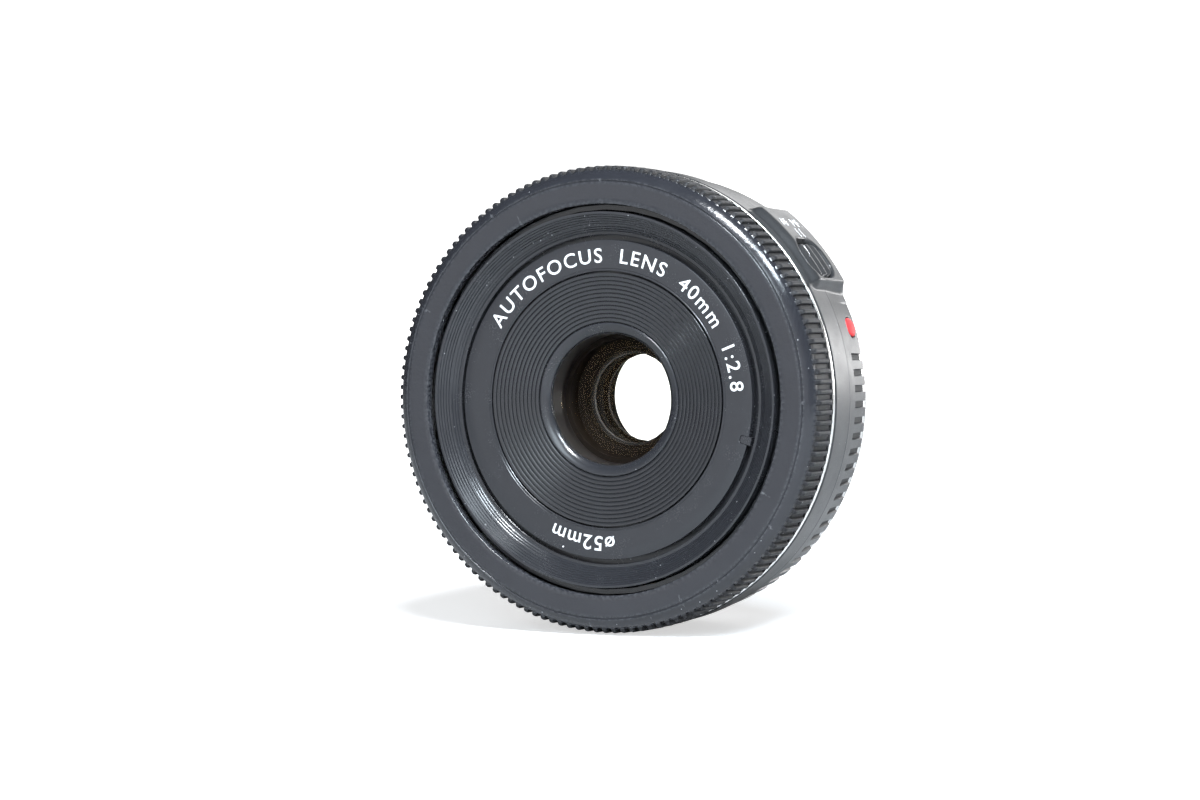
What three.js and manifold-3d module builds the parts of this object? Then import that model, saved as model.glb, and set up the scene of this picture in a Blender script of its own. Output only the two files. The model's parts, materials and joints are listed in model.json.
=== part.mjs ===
// A slim prime camera lens with an autofocus motor, standing on its rim. Millimetres.
// +Z is up, the optical axis runs along Y and the front glass faces -Y.
// Inside the lens group, y is the distance behind the focus ring's front face, and an
// angle is counted in degrees from +X towards +Z, as seen by someone facing the front glass.
import * as THREE from "three";
import { mergeVertices } from "three/addons/utils/BufferGeometryUtils.js";
import Module from "manifold-3d";

const wasm = await Module();
wasm.setup();

// ---- Driving dimensions: the outside ----
const RING_RADIUS = 34.1; // crests of the focus ring's knurl, the widest part
const TOTAL_LENGTH = 28; // front face to the bayonet's rear rim
const FLANGE_SEAT = 22.8; // the face that meets the camera body
const KNURL_TEETH = 144;
const KNURL_DEPTH = 0.5;
const KNURL_FRONT = 1.5;
const KNURL_BACK = 6.2;
const RING_BORE = 28.5; // hole in the focus ring's front face
const TRIM_FRONT = 6.65;
const TRIM_BACK = 7.25;
const BARREL_FRONT = 7.4;
const BARREL_BACK = 21.2;
const BARREL_WALL = 1.5;
const BARREL_RIDGE = 34; // radius just behind the trim ring
const BARREL_WAIST = 33; // radius at the rear
const DOT_ANGLE = 18.5; // red mounting index
const DOT_Y = 18.8;
const BAYONET_FLANGE_RADIUS = 32.4;
const BAYONET_TUBE_RADIUS = 25.4;
const BAYONET_TUBE_BORE = 24.2;
const LUG_RADIUS = 27; // the lugs pass a 54 mm throat
const MOUNT_SCREWS = 4;
const SCREW_CIRCLE = 29.9;
const CONTACTS = 7;

// ---- Driving dimensions: the switch on the raised panel ----
const PANEL_START = 56.5; // foot of the panel's long ramp
const PANEL_END = 27; // foot of its steep end
const PANEL_HEIGHT = 35.2; // radius of the panel's highest edge
const SWITCH_ANGLE = 36.4;
const SWITCH_FRONT = 9.7;
const SWITCH_BACK = 17.8;
const SWITCH_POCKET_WIDTH = 7;
const SWITCH_FLOOR = 33.55;
const KNOB_LENGTH = 6;
const KNOB_WIDTH = 6.4;
const KNOB_TOP = 34.6;
const KNOB_Y = SWITCH_BACK - 0.3 - KNOB_LENGTH / 2; // at rest the knob is at the rear
const STEM_LENGTH = 2.4;
const SWITCH_TRAVEL = 1.6;

// ---- Driving dimensions: focusing ----
const FOCUS_TRAVEL = 7; // the optical unit moves this far forwards
const DRIVE_TURN = 80; // while the drive ring turns this many degrees
const FOLLOWERS = 3;
const FOLLOWER_Y = 16.2;
const FOLLOWER_RADIUS = 1;
const SLOT_CLEARANCE = 0.25;
const TUBE_RADIUS = 27.4; // outside of the sliding inner barrel
const TUBE_WALL = 1.2;
const GUIDE_INNER = 27.7;
const GUIDE_OUTER = 28.4;
const DRIVE_INNER = 28.7;
const DRIVE_OUTER = 29.8;
const FOCUS_MODULE = 0.5;
const DRIVE_TEETH = 112; // round a full circle; the ring only has the stretch it uses
const FOCUS_PINION_TEETH = 12;
const MOTOR_ANGLE = -90;

// ---- Driving dimensions: optics and iris ----
const NAME_RING_RADIUS = 23.3;
const CONE_RADIUS = 18.5;
const CONE_BORE = 11.3;
const CONE_RIDGES = 12;
const BORE_RADIUS = 9.7;
const CELL_RADIUS = 13.6; // outside of the front cell
const FRONT_SEAT = 9.6; // bore of the front cell round lens 1
const MIDDLE_SEAT = 8.8; // and round lenses 2 and 3
const REAR_SEAT = 8.4; // bore of the rear cell round lenses 4 and 5
const LAST_SEAT = 9; // and round lens 6
const IRIS_BLADES = 7;
const IRIS_STOP = 6.5; // radius of the fully open aperture
const BLADE_INNER = 6.8;
const BLADE_OUTER = 12.2;
const BLADE_PIVOT = 10.6; // circle of the blades' pivots
const BLADE_SPAN = 120; // angle from a blade's pivot to its drive pin
const BLADE_THICKNESS = 0.05;
const BLADE_TILT = 0.14; // rise of a blade per millimetre along it
const BLADE_LEVEL = 14.2; // y of a blade's middle
const BLADE_SWING = 32.7; // what a blade turns to close to the smallest stop
const IRIS_TURN = 66.4; // what the iris ring turns for that
const IRIS_MODULE = 0.4;
const IRIS_TEETH = 75;
const IRIS_PINION_TEETH = 12;
const IRIS_MOTOR_ANGLE = 30;

const FINE = 56; // segments of the outermost rings
const MEDIUM = 40; // the other large rings
const COARSE = 24; // rings inside the optical unit
const LENS_SIDES = 16;

// ---- Materials ----
const finish = (color, roughness, metalness) =>
  new THREE.MeshStandardMaterial({ color, roughness, metalness });
const SATIN_BLACK = finish(0x1b1c1e, 0.45, 0);
const DULL_BLACK = finish(0x0f1011, 0.85, 0);
const POLISHED = finish(0xe4e4e2, 0.12, 1);
const BRUSHED = finish(0xb9babb, 0.32, 1);
const STEEL = finish(0x8d9094, 0.4, 1);
const BRASS = finish(0xb58b45, 0.35, 1);
const GOLD = finish(0xe2b657, 0.25, 1);
const RED = finish(0xd8383c, 0.35, 0);
const NYLON = finish(0x55585c, 0.6, 0);
const BOARD = finish(0x2e5a3a, 0.6, 0);
const AMBER = finish(0xb87f35, 0.5, 0);
const GLASS = new THREE.MeshStandardMaterial({
  color: 0xdfe8ee,
  roughness: 0.03,
  metalness: 0,
  transparent: true,
  opacity: 0.35,
});

// ---- Solids ----
const radians = THREE.MathUtils.degToRad;

function polar(radius, degrees, y) {
  const angle = radians(degrees);
  return new THREE.Vector3(radius * Math.cos(angle), y, radius * Math.sin(angle));
}

// A closed [radius, y] outline turned round the Y axis, whichever way round it is listed.
function turned(profile, segments = MEDIUM) {
  const next = (i) => profile[(i + 1) % profile.length];
  const doubleArea = profile.reduce((sum, [r, y], i) => sum + r * next(i)[1] - next(i)[0] * y, 0);
  const points = (doubleArea > 0 ? profile : [...profile].reverse()).map(
    ([r, y]) => new THREE.Vector2(r, y),
  );
  const onAxis = points[0].x === 0 && points[points.length - 1].x === 0;
  if (!onAxis) points.push(points[0].clone());
  return new THREE.LatheGeometry(points, segments);
}

const washer = (inner, outer, front, back, segments) =>
  turned([[inner, front], [outer, front], [outer, back], [inner, back]], segments);

// A flat shape drawn as seen from the front, made solid from y = front to y = back.
function slab(shape, front, back, curveSegments = 12) {
  return new THREE.ExtrudeGeometry(shape, {
    depth: back - front,
    bevelEnabled: false,
    curveSegments,
  })
    .rotateX(Math.PI / 2)
    .translate(0, back, 0);
}

// A round rod along Y.
const rod = (radius, x, z, front, back, segments = 16) =>
  new THREE.CylinderGeometry(radius, radius, back - front, segments).translate(
    x,
    (front + back) / 2,
    z,
  );

function rodAt(radius, circle, degrees, front, back, segments) {
  const centre = polar(circle, degrees, 0);
  return rod(radius, centre.x, centre.z, front, back, segments);
}

// The closed solid between two surfaces over the unit square, each a function of (u, v).
function between(outer, inner, stepsU, stepsV) {
  const corners = [];
  const sheet = (surface) => {
    const first = corners.length;
    for (let i = 0; i <= stepsU; i++)
      for (let j = 0; j <= stepsV; j++) corners.push(surface(i / stepsU, j / stepsV));
    return (i, j) => first + i * (stepsV + 1) + j;
  };
  const top = sheet(outer);
  const bottom = sheet(inner);
  const index = [];
  const quad = (a, b, c, d) => index.push(a, b, c, a, c, d);
  for (let i = 0; i < stepsU; i++)
    for (let j = 0; j < stepsV; j++) {
      quad(top(i, j), top(i, j + 1), top(i + 1, j + 1), top(i + 1, j));
      quad(bottom(i, j), bottom(i + 1, j), bottom(i + 1, j + 1), bottom(i, j + 1));
    }
  for (let i = 0; i < stepsU; i++) {
    quad(top(i, 0), top(i + 1, 0), bottom(i + 1, 0), bottom(i, 0));
    quad(top(i, stepsV), bottom(i, stepsV), bottom(i + 1, stepsV), top(i + 1, stepsV));
  }
  for (let j = 0; j < stepsV; j++) {
    quad(top(0, j), bottom(0, j), bottom(0, j + 1), top(0, j + 1));
    quad(top(stepsU, j), top(stepsU, j + 1), bottom(stepsU, j + 1), bottom(stepsU, j));
  }
  const geometry = new THREE.BufferGeometry().setFromPoints(corners);
  geometry.setIndex(enclosed(corners, index) > 0 ? index : index.reverse());
  return geometry;
}

// Six times the volume inside a closed set of triangles, negative when they face inwards.
function enclosed(corners, index) {
  let sum = 0;
  for (let i = 0; i < index.length; i += 3) {
    const [a, b, c] = [corners[index[i]], corners[index[i + 1]], corners[index[i + 2]]];
    sum += a.dot(new THREE.Vector3().crossVectors(b, c));
  }
  return sum;
}

// A block bent round the axis between two angles and two radii; its y limits may follow the angle.
function bentBlock(radii, angles, low, high, steps) {
  const angleAt = (u) => THREE.MathUtils.lerp(angles[0], angles[1], u);
  const wall = (radius) => (u, v) =>
    polar(radius, angleAt(u), THREE.MathUtils.lerp(low(u), high(u), v));
  return between(wall(radii[1]), wall(radii[0]), steps, 1);
}

const bentBox = (radii, angles, front, back, steps = 8) =>
  bentBlock(radii, angles, () => front, () => back, steps);

function solidOf(geometry) {
  const bare = geometry.index ? geometry.toNonIndexed() : geometry.clone();
  bare.deleteAttribute("normal");
  bare.deleteAttribute("uv");
  const merged = mergeVertices(bare, 1e-4);
  return new wasm.Manifold(
    new wasm.Mesh({
      numProp: 3,
      vertProperties: merged.attributes.position.array,
      triVerts: merged.index.array,
    }),
  );
}

function geometryOf(solid) {
  const mesh = solid.getMesh();
  const geometry = new THREE.BufferGeometry();
  geometry.setAttribute("position", new THREE.BufferAttribute(mesh.vertProperties, 3));
  geometry.setIndex(new THREE.BufferAttribute(mesh.triVerts, 1));
  geometry.computeVertexNormals();
  return geometry;
}

const joined = (base, ...more) =>
  geometryOf(more.reduce((sum, piece) => sum.add(solidOf(piece)), solidOf(base)));
const cut = (base, ...tools) =>
  geometryOf(tools.reduce((rest, tool) => rest.subtract(solidOf(tool)), solidOf(base)));

const every = (count, make) => Array.from({ length: count }, (_, i) => make(i));

function circlePath(radius, segments, x = 0, z = 0) {
  const points = every(segments, (i) => {
    const angle = (2 * Math.PI * i) / segments;
    return new THREE.Vector2(x + radius * Math.cos(angle), z + radius * Math.sin(angle));
  });
  return new THREE.Path(points);
}

// A round outline that changes radius at each listed [angle in degrees, radius].
const outlineOf = (corners) =>
  corners.map(([degrees, radius]) => {
    const angle = radians(degrees);
    return new THREE.Vector2(radius * Math.cos(angle), radius * Math.sin(angle));
  });

// Corners of straight-flanked gear teeth; rise is from the pitch circle to the tip, and a
// ring gear's teeth point inwards with a negative rise.
function toothCorners(teeth, first, count, pitchRadius, rise, drop) {
  const pitch = 360 / teeth;
  const tipHalf = 0.12 * pitch;
  const rootHalf = 0.25 * pitch;
  return every(count, (k) => {
    const middle = first + k * pitch;
    return [
      [middle - rootHalf, pitchRadius - drop],
      [middle - tipHalf, pitchRadius + rise],
      [middle + tipHalf, pitchRadius + rise],
      [middle + rootHalf, pitchRadius - drop],
    ];
  }).flat();
}

// ---- The assembly ----
const lens = new THREE.Group();
lens.position.set(0, -TOTAL_LENGTH / 2, RING_RADIUS);

function add(name, geometry, material) {
  const mesh = new THREE.Mesh(geometry, material);
  mesh.name = name;
  lens.add(mesh);
  return mesh;
}

// Turns a mesh built with +Z outwards so that it faces outwards at this angle.
function faceOutwards(mesh, degrees, radius, y) {
  mesh.position.copy(polar(radius, degrees, y));
  mesh.rotation.y = Math.PI / 2 - radians(degrees);
}

// ---- Focus ring ----
function focusRing() {
  const skirtBore = 31.9;
  const wall = turned(
    [
      [RING_BORE, 0],
      [31.8, 0],
      [33.5, 1.3],
      [33.5, 6.4],
      [skirtBore, 6.4],
      [skirtBore, 1.4],
      [RING_BORE, 1.4],
    ],
    FINE,
  );
  const crests = every(2 * KNURL_TEETH, (i) => [
    (180 * i) / KNURL_TEETH,
    RING_RADIUS - (i % 2 ? KNURL_DEPTH : 0),
  ]);
  const knurl = new THREE.Shape(outlineOf(crests));
  knurl.holes.push(circlePath(32.8, FINE));
  return joined(wall, slab(knurl, KNURL_FRONT, KNURL_BACK));
}

// The ring that a light gate reads: slots round the rear edge of a thin skirt.
function encoderRing() {
  const slots = every(12, (k) => {
    const middle = k * 30;
    return bentBox([29.8, 31.8], [middle, middle + 12], 5.2, 7.2, 1);
  });
  return cut(washer(30.2, 31.4, 1.7, 6.9, 36), ...slots);
}

add("focus_ring", focusRing(), SATIN_BLACK);
add("encoder_ring", encoderRing(), NYLON);

// ---- Outer barrel, its raised switch panel and trim ----
add("trim_ring", washer(32.3, 33.95, TRIM_FRONT, TRIM_BACK, FINE), POLISHED);

// Radius of the raised panel's skin over the barrel.
function panelSkin(u, v) {
  const angle = THREE.MathUtils.lerp(PANEL_START, PANEL_END, u);
  const y = THREE.MathUtils.lerp(BARREL_FRONT + 0.05, BARREL_BACK - 0.1, v);
  const foot = 33.3;
  const along = Math.min(
    THREE.MathUtils.smoothstep(PANEL_START - angle, 0, 4),
    THREE.MathUtils.smoothstep(angle - PANEL_END, 0, 3.2),
  );
  const frontSlope = THREE.MathUtils.clamp((10.3 - y) / 3, 0, 1) * 1.3;
  const rearSlope = THREE.MathUtils.clamp((y - 19.6) / 1.7, 0, 1) * 0.8;
  const top = PANEL_HEIGHT - 0.048 * Math.max(0, y - 10.3) - frontSlope - rearSlope;
  return polar(THREE.MathUtils.lerp(foot, top, along), angle, y);
}

function panelBottom(u, v) {
  const skin = panelSkin(u, v);
  const shrink = 32.6 / Math.hypot(skin.x, skin.z);
  return skin.multiply(new THREE.Vector3(shrink, 1, shrink));
}

const screwAngle = (k) => 45 + k * 90;

function mainBarrel() {
  const rearWall = 0.8;
  const shell = turned(
    [
      [33.6, BARREL_FRONT],
      [BARREL_RIDGE, BARREL_FRONT + 0.3],
      [BARREL_RIDGE - 0.3, 13.5],
      [BARREL_WAIST, BARREL_BACK - 0.3],
      [BARREL_WAIST - 0.25, BARREL_BACK],
      [28.6, BARREL_BACK],
      [28.6, BARREL_BACK - rearWall],
      [BARREL_WAIST - BARREL_WALL, BARREL_BACK - rearWall],
      [33.6 - BARREL_WALL, BARREL_FRONT],
    ],
    FINE,
  );
  const panel = between(panelSkin, panelBottom, 16, 10);
  const pocket = roundedPrism(SWITCH_POCKET_WIDTH, SWITCH_BACK - SWITCH_FRONT, 2.8, 4);
  placeOutwards(pocket, SWITCH_ANGLE, SWITCH_FLOOR, (SWITCH_FRONT + SWITCH_BACK) / 2);
  const stemSlot = new THREE.BoxGeometry(2.7, STEM_LENGTH + 0.7 + SWITCH_TRAVEL, 8);
  placeOutwards(stemSlot, SWITCH_ANGLE, 30.5, KNOB_Y - SWITCH_TRAVEL / 2);
  const screwHoles = every(MOUNT_SCREWS, (k) =>
    rodAt(1, SCREW_CIRCLE, screwAngle(k), BARREL_BACK - 2, BARREL_BACK + 1, 12),
  );
  return cut(joined(shell, panel), pocket, stemSlot, ...screwHoles);
}

// A prism with rounded corners: width along X, length along Y, rising from z = 0.
function roundedPrism(width, length, corner, height) {
  const x = width / 2;
  const y = length / 2;
  const shape = new THREE.Shape();
  shape.moveTo(-x + corner, -y);
  shape.lineTo(x - corner, -y);
  shape.absarc(x - corner, -y + corner, corner, -Math.PI / 2, 0);
  shape.lineTo(x, y - corner);
  shape.absarc(x - corner, y - corner, corner, 0, Math.PI / 2);
  shape.lineTo(-x + corner, y);
  shape.absarc(-x + corner, y - corner, corner, Math.PI / 2, Math.PI);
  shape.lineTo(-x, -y + corner);
  shape.absarc(-x + corner, -y + corner, corner, Math.PI, 1.5 * Math.PI);
  return new THREE.ExtrudeGeometry(shape, { depth: height, bevelEnabled: false, curveSegments: 4 });
}

function placeOutwards(geometry, degrees, radius, y) {
  const place = polar(radius, degrees, y);
  geometry.rotateY(Math.PI / 2 - radians(degrees)).translate(place.x, place.y, place.z);
  return geometry;
}

add("main_barrel", mainBarrel(), SATIN_BLACK);

function switchKnob() {
  const floorGap = 0.25;
  const height = KNOB_TOP - SWITCH_FLOOR - floorGap;
  const cap = roundedPrism(KNOB_WIDTH, KNOB_LENGTH, 2.2, height).translate(0, 0, floorGap);
  const grooves = every(4, (k) =>
    new THREE.BoxGeometry(KNOB_WIDTH + 1, 0.45, 0.5).translate(0, -1.8 + k * 1.2, height + floorGap),
  );
  const stem = new THREE.BoxGeometry(2, STEM_LENGTH, 3).translate(0, 0, -1.1);
  return cut(joined(cap, stem), ...grooves);
}

faceOutwards(add("switch_knob", switchKnob(), SATIN_BLACK), SWITCH_ANGLE, SWITCH_FLOOR, KNOB_Y);

// A bent strip inside the barrel that clicks the switch into its two places.
const detentAngles = [SWITCH_ANGLE - 7, SWITCH_ANGLE + 7];
add("switch_detent", bentBox([30.5, 30.8], detentAngles, 13.2, 16.4, 4), STEEL);

function indexDot() {
  const cap = turned([[0, 0], [1.45, 0], [1.3, 0.25], [0.8, 0.42], [0, 0.5]], 20);
  return cap.rotateX(Math.PI / 2);
}
faceOutwards(add("index_dot", indexDot(), RED), DOT_ANGLE, 33.3, DOT_Y);

// ---- Fixed guide tube with straight slots ----
const slotHalfAngle = THREE.MathUtils.radToDeg((FOLLOWER_RADIUS + SLOT_CLEARANCE) / GUIDE_OUTER);
const followerAngle = (k) => 120 * k + 90;

function guideTube() {
  const flangeBack = 7.95; // clear of the followers when the unit is fully forwards
  const tube = turned(
    [
      [GUIDE_INNER, 1.9],
      [GUIDE_OUTER, 1.9],
      [GUIDE_OUTER, 7.5],
      [31.7, 7.5],
      [31.7, flangeBack],
      [GUIDE_OUTER, flangeBack],
      [GUIDE_OUTER, 18.9],
      [GUIDE_INNER, 18.9],
    ],
    MEDIUM,
  );
  const reach = FOLLOWER_RADIUS + 2 * SLOT_CLEARANCE;
  const slots = every(FOLLOWERS, (k) => {
    const middle = followerAngle(k);
    return bentBox(
      [GUIDE_INNER - 0.5, GUIDE_OUTER + 0.15],
      [middle - slotHalfAngle, middle + slotHalfAngle],
      FOLLOWER_Y - FOCUS_TRAVEL - reach,
      FOLLOWER_Y + reach,
      2,
    );
  });
  return cut(tube, ...slots);
}
add("guide_tube", guideTube(), STEEL);

// ---- Drive ring: cam slots and a stretch of inward gear teeth ----
const camLevel = (u) => FOLLOWER_Y - FOCUS_TRAVEL * u;

function driveRing() {
  const toothPitch = 360 / DRIVE_TEETH;
  const meshTeeth = 3; // teeth beyond each end of the stretch in use
  const before = Math.ceil(DRIVE_TURN / toothPitch) + meshTeeth;
  const count = before + meshTeeth + 1;
  const first = MOTOR_ANGLE - before * toothPitch;
  const pitchRadius = (FOCUS_MODULE * DRIVE_TEETH) / 2;
  const toothed = toothCorners(DRIVE_TEETH, first, count, pitchRadius, -0.4, -0.55);
  const start = toothed[0][0];
  const end = toothed[toothed.length - 1][0];
  const plainSteps = 24;
  const plain = every(plainSteps - 1, (i) => [
    THREE.MathUtils.lerp(end, start + 360, (i + 1) / plainSteps),
    pitchRadius + 0.55,
  ]);
  const rim = new THREE.Shape(circlePath(DRIVE_OUTER, MEDIUM).getPoints());
  rim.holes.push(new THREE.Path(outlineOf([...toothed, ...plain])));
  const sleeve = washer(DRIVE_INNER, DRIVE_OUTER, 8.5, 19.6, MEDIUM);
  const halfSlot = FOLLOWER_RADIUS + SLOT_CLEARANCE + 0.02;
  const spare = slotHalfAngle;
  const cams = every(FOLLOWERS, (k) => {
    const angles = [followerAngle(k) + spare, followerAngle(k) - DRIVE_TURN - spare];
    const share = (u) => (u * (DRIVE_TURN + 2 * spare) - spare) / DRIVE_TURN;
    const middle = (u) => camLevel(share(u));
    return bentBlock(
      [DRIVE_INNER - 0.6, DRIVE_OUTER + 0.6],
      angles,
      (u) => middle(u) - halfSlot,
      (u) => middle(u) + halfSlot,
      8,
    );
  });
  return cut(joined(sleeve, slab(rim, 19.1, 20)), ...cams);
}
add("drive_ring", driveRing(), NYLON);

function pinion(teeth, module, gapAngle, front, back) {
  const pitchRadius = (teeth * module) / 2;
  const first = gapAngle + 180 / teeth;
  const rise = 0.8 * module;
  const corners = toothCorners(teeth, first, teeth, pitchRadius, rise, 1.1 * module);
  return slab(new THREE.Shape(outlineOf(corners)), front, back);
}

const pinionCircle = (FOCUS_MODULE * (DRIVE_TEETH - FOCUS_PINION_TEETH)) / 2;
const focusPinion = pinion(FOCUS_PINION_TEETH, FOCUS_MODULE, MOTOR_ANGLE, 19.15, 19.95);
const focusPinionPlace = polar(pinionCircle, MOTOR_ANGLE, 0);
add(
  "focus_pinion",
  joined(focusPinion, rod(0.6, 0, 0, 18, 19.5, 12)).translate(focusPinionPlace.x, 0, focusPinionPlace.z),
  BRASS,
);

// ---- Focus motor and gearbox, fixed below the optical unit ----
const motorCircle = 21.2;
add("focus_motor", rodAt(4.2, motorCircle, MOTOR_ANGLE, 8.2, 16.6, 24), STEEL);

function gearbox() {
  const body = new THREE.BoxGeometry(9, 2.1, 8.4).translate(0, 17.9, -21.5);
  return cut(body, rodAt(0.75, pinionCircle, MOTOR_ANGLE, 17.6, 19.5, 12));
}
add("gearbox", gearbox(), DULL_BLACK);

// ---- Inner barrel: slides, carries the optics and has the filter thread ----
function innerBarrel() {
  const inside = TUBE_RADIUS - TUBE_WALL;
  const thread = every(3, (k) => {
    const y = 0.75 + 0.5 * k;
    return [
      [25.55, y],
      [26, y + 0.25],
    ];
  }).flat();
  return turned(
    [
      [TUBE_RADIUS, 0.3],
      [TUBE_RADIUS, 18.6],
      [inside, 18.6],
      [inside, 4.5],
      [14, 4.5],
      [14, 3.5],
      [24, 3.5],
      [24, 2.2],
      [25.2, 2.2],
      ...thread.reverse(),
      [25.9, 0.6],
      [26.4, 0.3],
    ],
    MEDIUM,
  );
}
add("inner_barrel", innerBarrel(), SATIN_BLACK);
add("name_ring", washer(18.75, NAME_RING_RADIUS, 1.9, 3.2, MEDIUM), SATIN_BLACK);

function ridgedCone() {
  const rise = 0.24;
  const width = (CONE_RADIUS - CONE_BORE) / CONE_RIDGES;
  const front = every(CONE_RIDGES, (k) => {
    const radius = CONE_RADIUS - width * k;
    const y = 1.9 + (0.9 * k) / CONE_RIDGES;
    return [
      [radius, y],
      [radius - 0.9 * width, y + rise],
    ];
  }).flat();
  return turned([[CONE_RADIUS, 3.2], ...front, [CONE_BORE, 2.8], [CONE_BORE, 3.2]], COARSE);
}
add("ridged_baffle", ridgedCone(), DULL_BLACK);
const retainerProfile = [[BORE_RADIUS, 3.35], [11.1, 2.75], [11.1, 3.7], [BORE_RADIUS, 3.7]];
add("front_retainer", turned(retainerProfile, COARSE), SATIN_BLACK);

// ---- Lens elements ----
// Depth of a spherical face at a radius: positive bulges towards the front.
function sag(curve, radius) {
  return curve === 0 ? 0 : radius ** 2 / (curve + Math.sign(curve) * Math.sqrt(curve ** 2 - radius ** 2));
}

function element(front, back, frontCurve, backCurve, radius) {
  const steps = 3;
  const face = (vertex, curve) =>
    every(steps + 1, (i) => {
      const r = (radius * i) / steps;
      return [r, vertex + sag(curve, r)];
    });
  return turned([...face(front, frontCurve), ...face(back, backCurve).reverse()], LENS_SIDES);
}
add("lens_1", element(4.1, 6.4, 22, 60, 9.4), GLASS);
add("lens_2", element(6.7, 8.9, 24, -400, 8.6), GLASS);
add("lens_3", element(9.05, 9.6, -400, 40, 8.6), GLASS);
add("lens_4", element(17.6, 18.2, -60, 40, 8.2), GLASS);
add("lens_5", element(18.35, 20.45, 40, -40, 8.2), GLASS);
add("lens_6", element(20.95, 21.75, -60, -60, 8.8), GLASS);

function frontCell() {
  return turned(
    [
      [FRONT_SEAT, 3.9],
      [CELL_RADIUS, 3.9],
      [CELL_RADIUS, 11],
      [7.6, 11],
      [7.6, 10.65],
      [MIDDLE_SEAT, 10.65],
      [MIDDLE_SEAT, 7.9],
      [FRONT_SEAT, 7.9],
    ],
    COARSE,
  );
}
add("front_cell", frontCell(), DULL_BLACK);

function rearCell() {
  return turned(
    [
      [7.4, 16.8],
      [12.6, 16.8],
      [12.6, 21.5],
      [LAST_SEAT, 21.5],
      [LAST_SEAT, 20.15],
      [REAR_SEAT, 20.15],
      [REAR_SEAT, 17.02],
      [7.4, 17.02],
    ],
    COARSE,
  );
}
add("rear_cell", rearCell(), DULL_BLACK);
const rearRetainerProfile = [[8, 21.6], [10.5, 21.6], [10.5, 22.1], [8.4, 22.1]];
add("rear_retainer", turned(rearRetainerProfile, COARSE), SATIN_BLACK);

// ---- Iris ----
const bladeAngle = (k) => (360 / IRIS_BLADES) * k + 12;
const pinRadius = 0.35;

function irisBase() {
  const holes = every(IRIS_BLADES, (k) =>
    rodAt(pinRadius + 0.15, BLADE_PIVOT, bladeAngle(k), 15.7, 17, 10),
  );
  const posts = [135, 205, 285].map((angle) => rodAt(0.8, 14.9, angle, 11.3, 16.2, 12));
  const plate = washer(IRIS_STOP, 16.2, 16, 16.6, COARSE);
  return cut(joined(plate, ...posts), ...holes);
}
add("iris_base", irisBase(), DULL_BLACK);
add("iris_cover", washer(7, 13.4, 11.2, 11.5, COARSE), DULL_BLACK);

// A crescent with a pivot pin at one end, towards the rear, and a drive pin at the other,
// towards the front. It leans along its length, so that each blade passes over the next.
function irisBlade() {
  const steps = 9;
  const arc = (radius, from, to) =>
    every(steps + 1, (i) => [THREE.MathUtils.lerp(from, to, i / steps), radius]);
  const endMargin = 2;
  const shape = new THREE.Shape(
    outlineOf([
      ...arc(BLADE_OUTER, -endMargin, BLADE_SPAN + endMargin),
      [BLADE_SPAN + 5, BLADE_PIVOT],
      ...arc(BLADE_INNER, BLADE_SPAN - 4, 4),
      [-5, BLADE_PIVOT],
    ]),
  );
  const plate = slab(shape, -BLADE_THICKNESS / 2, BLADE_THICKNESS / 2);
  const along = radians(BLADE_SPAN / 2 + 90);
  const rise = new THREE.Matrix4().set(
    1, 0, 0, 0,
    -BLADE_TILT * Math.cos(along), 1, -BLADE_TILT * Math.sin(along), 0,
    0, 0, 1, 0,
    0, 0, 0, 1,
  );
  plate.applyMatrix4(rise);
  const reach = BLADE_TILT * BLADE_PIVOT * Math.sin(radians(BLADE_SPAN / 2));
  const pivot = rodAt(pinRadius, BLADE_PIVOT, 0, reach - 0.05, 16.5 - BLADE_LEVEL, 8);
  const drive = rodAt(pinRadius, BLADE_PIVOT, BLADE_SPAN, 12 - BLADE_LEVEL, 0.05 - reach, 8);
  return joined(plate, pivot, drive);
}

for (let k = 0; k < IRIS_BLADES; k++) {
  const blade = add("iris_blade_" + (k + 1), irisBlade(), STEEL);
  blade.position.y = BLADE_LEVEL;
  blade.rotation.y = -radians(bladeAngle(k));
}

// Where a blade's drive pin sits on the iris ring, when the blade has swung by this share.
function pinOnRing(share) {
  const pivot = new THREE.Vector2(BLADE_PIVOT, 0);
  const pin = outlineOf([[BLADE_SPAN, BLADE_PIVOT]])[0];
  pin.rotateAround(pivot, radians(share * BLADE_SWING));
  return pin.rotateAround(new THREE.Vector2(), radians(-share * IRIS_TURN));
}

// The hole that a drive pin needs in the ring, drawn for a blade whose pivot is at angle 0.
function driveSlot(angle) {
  const halfWidth = pinRadius + 0.2;
  const steps = 6;
  const path = every(steps + 1, (i) => pinOnRing(i / steps));
  const heading = (i) =>
    path[Math.min(i + 1, steps)].clone().sub(path[Math.max(i - 1, 0)]).normalize();
  const ahead = path.map((point, i) => {
    const overrun = i === 0 ? -halfWidth : i === steps ? halfWidth : 0;
    return point.clone().addScaledVector(heading(i), overrun);
  });
  const side = (sign) =>
    ahead.map((point, i) => {
      const along = heading(i);
      return new THREE.Vector2(-along.y, along.x).multiplyScalar(sign * halfWidth).add(point);
    });
  const outline = [...side(1), ...side(-1).reverse()];
  return slab(new THREE.Shape(outline), 11, 13).rotateY(-radians(angle));
}

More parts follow.
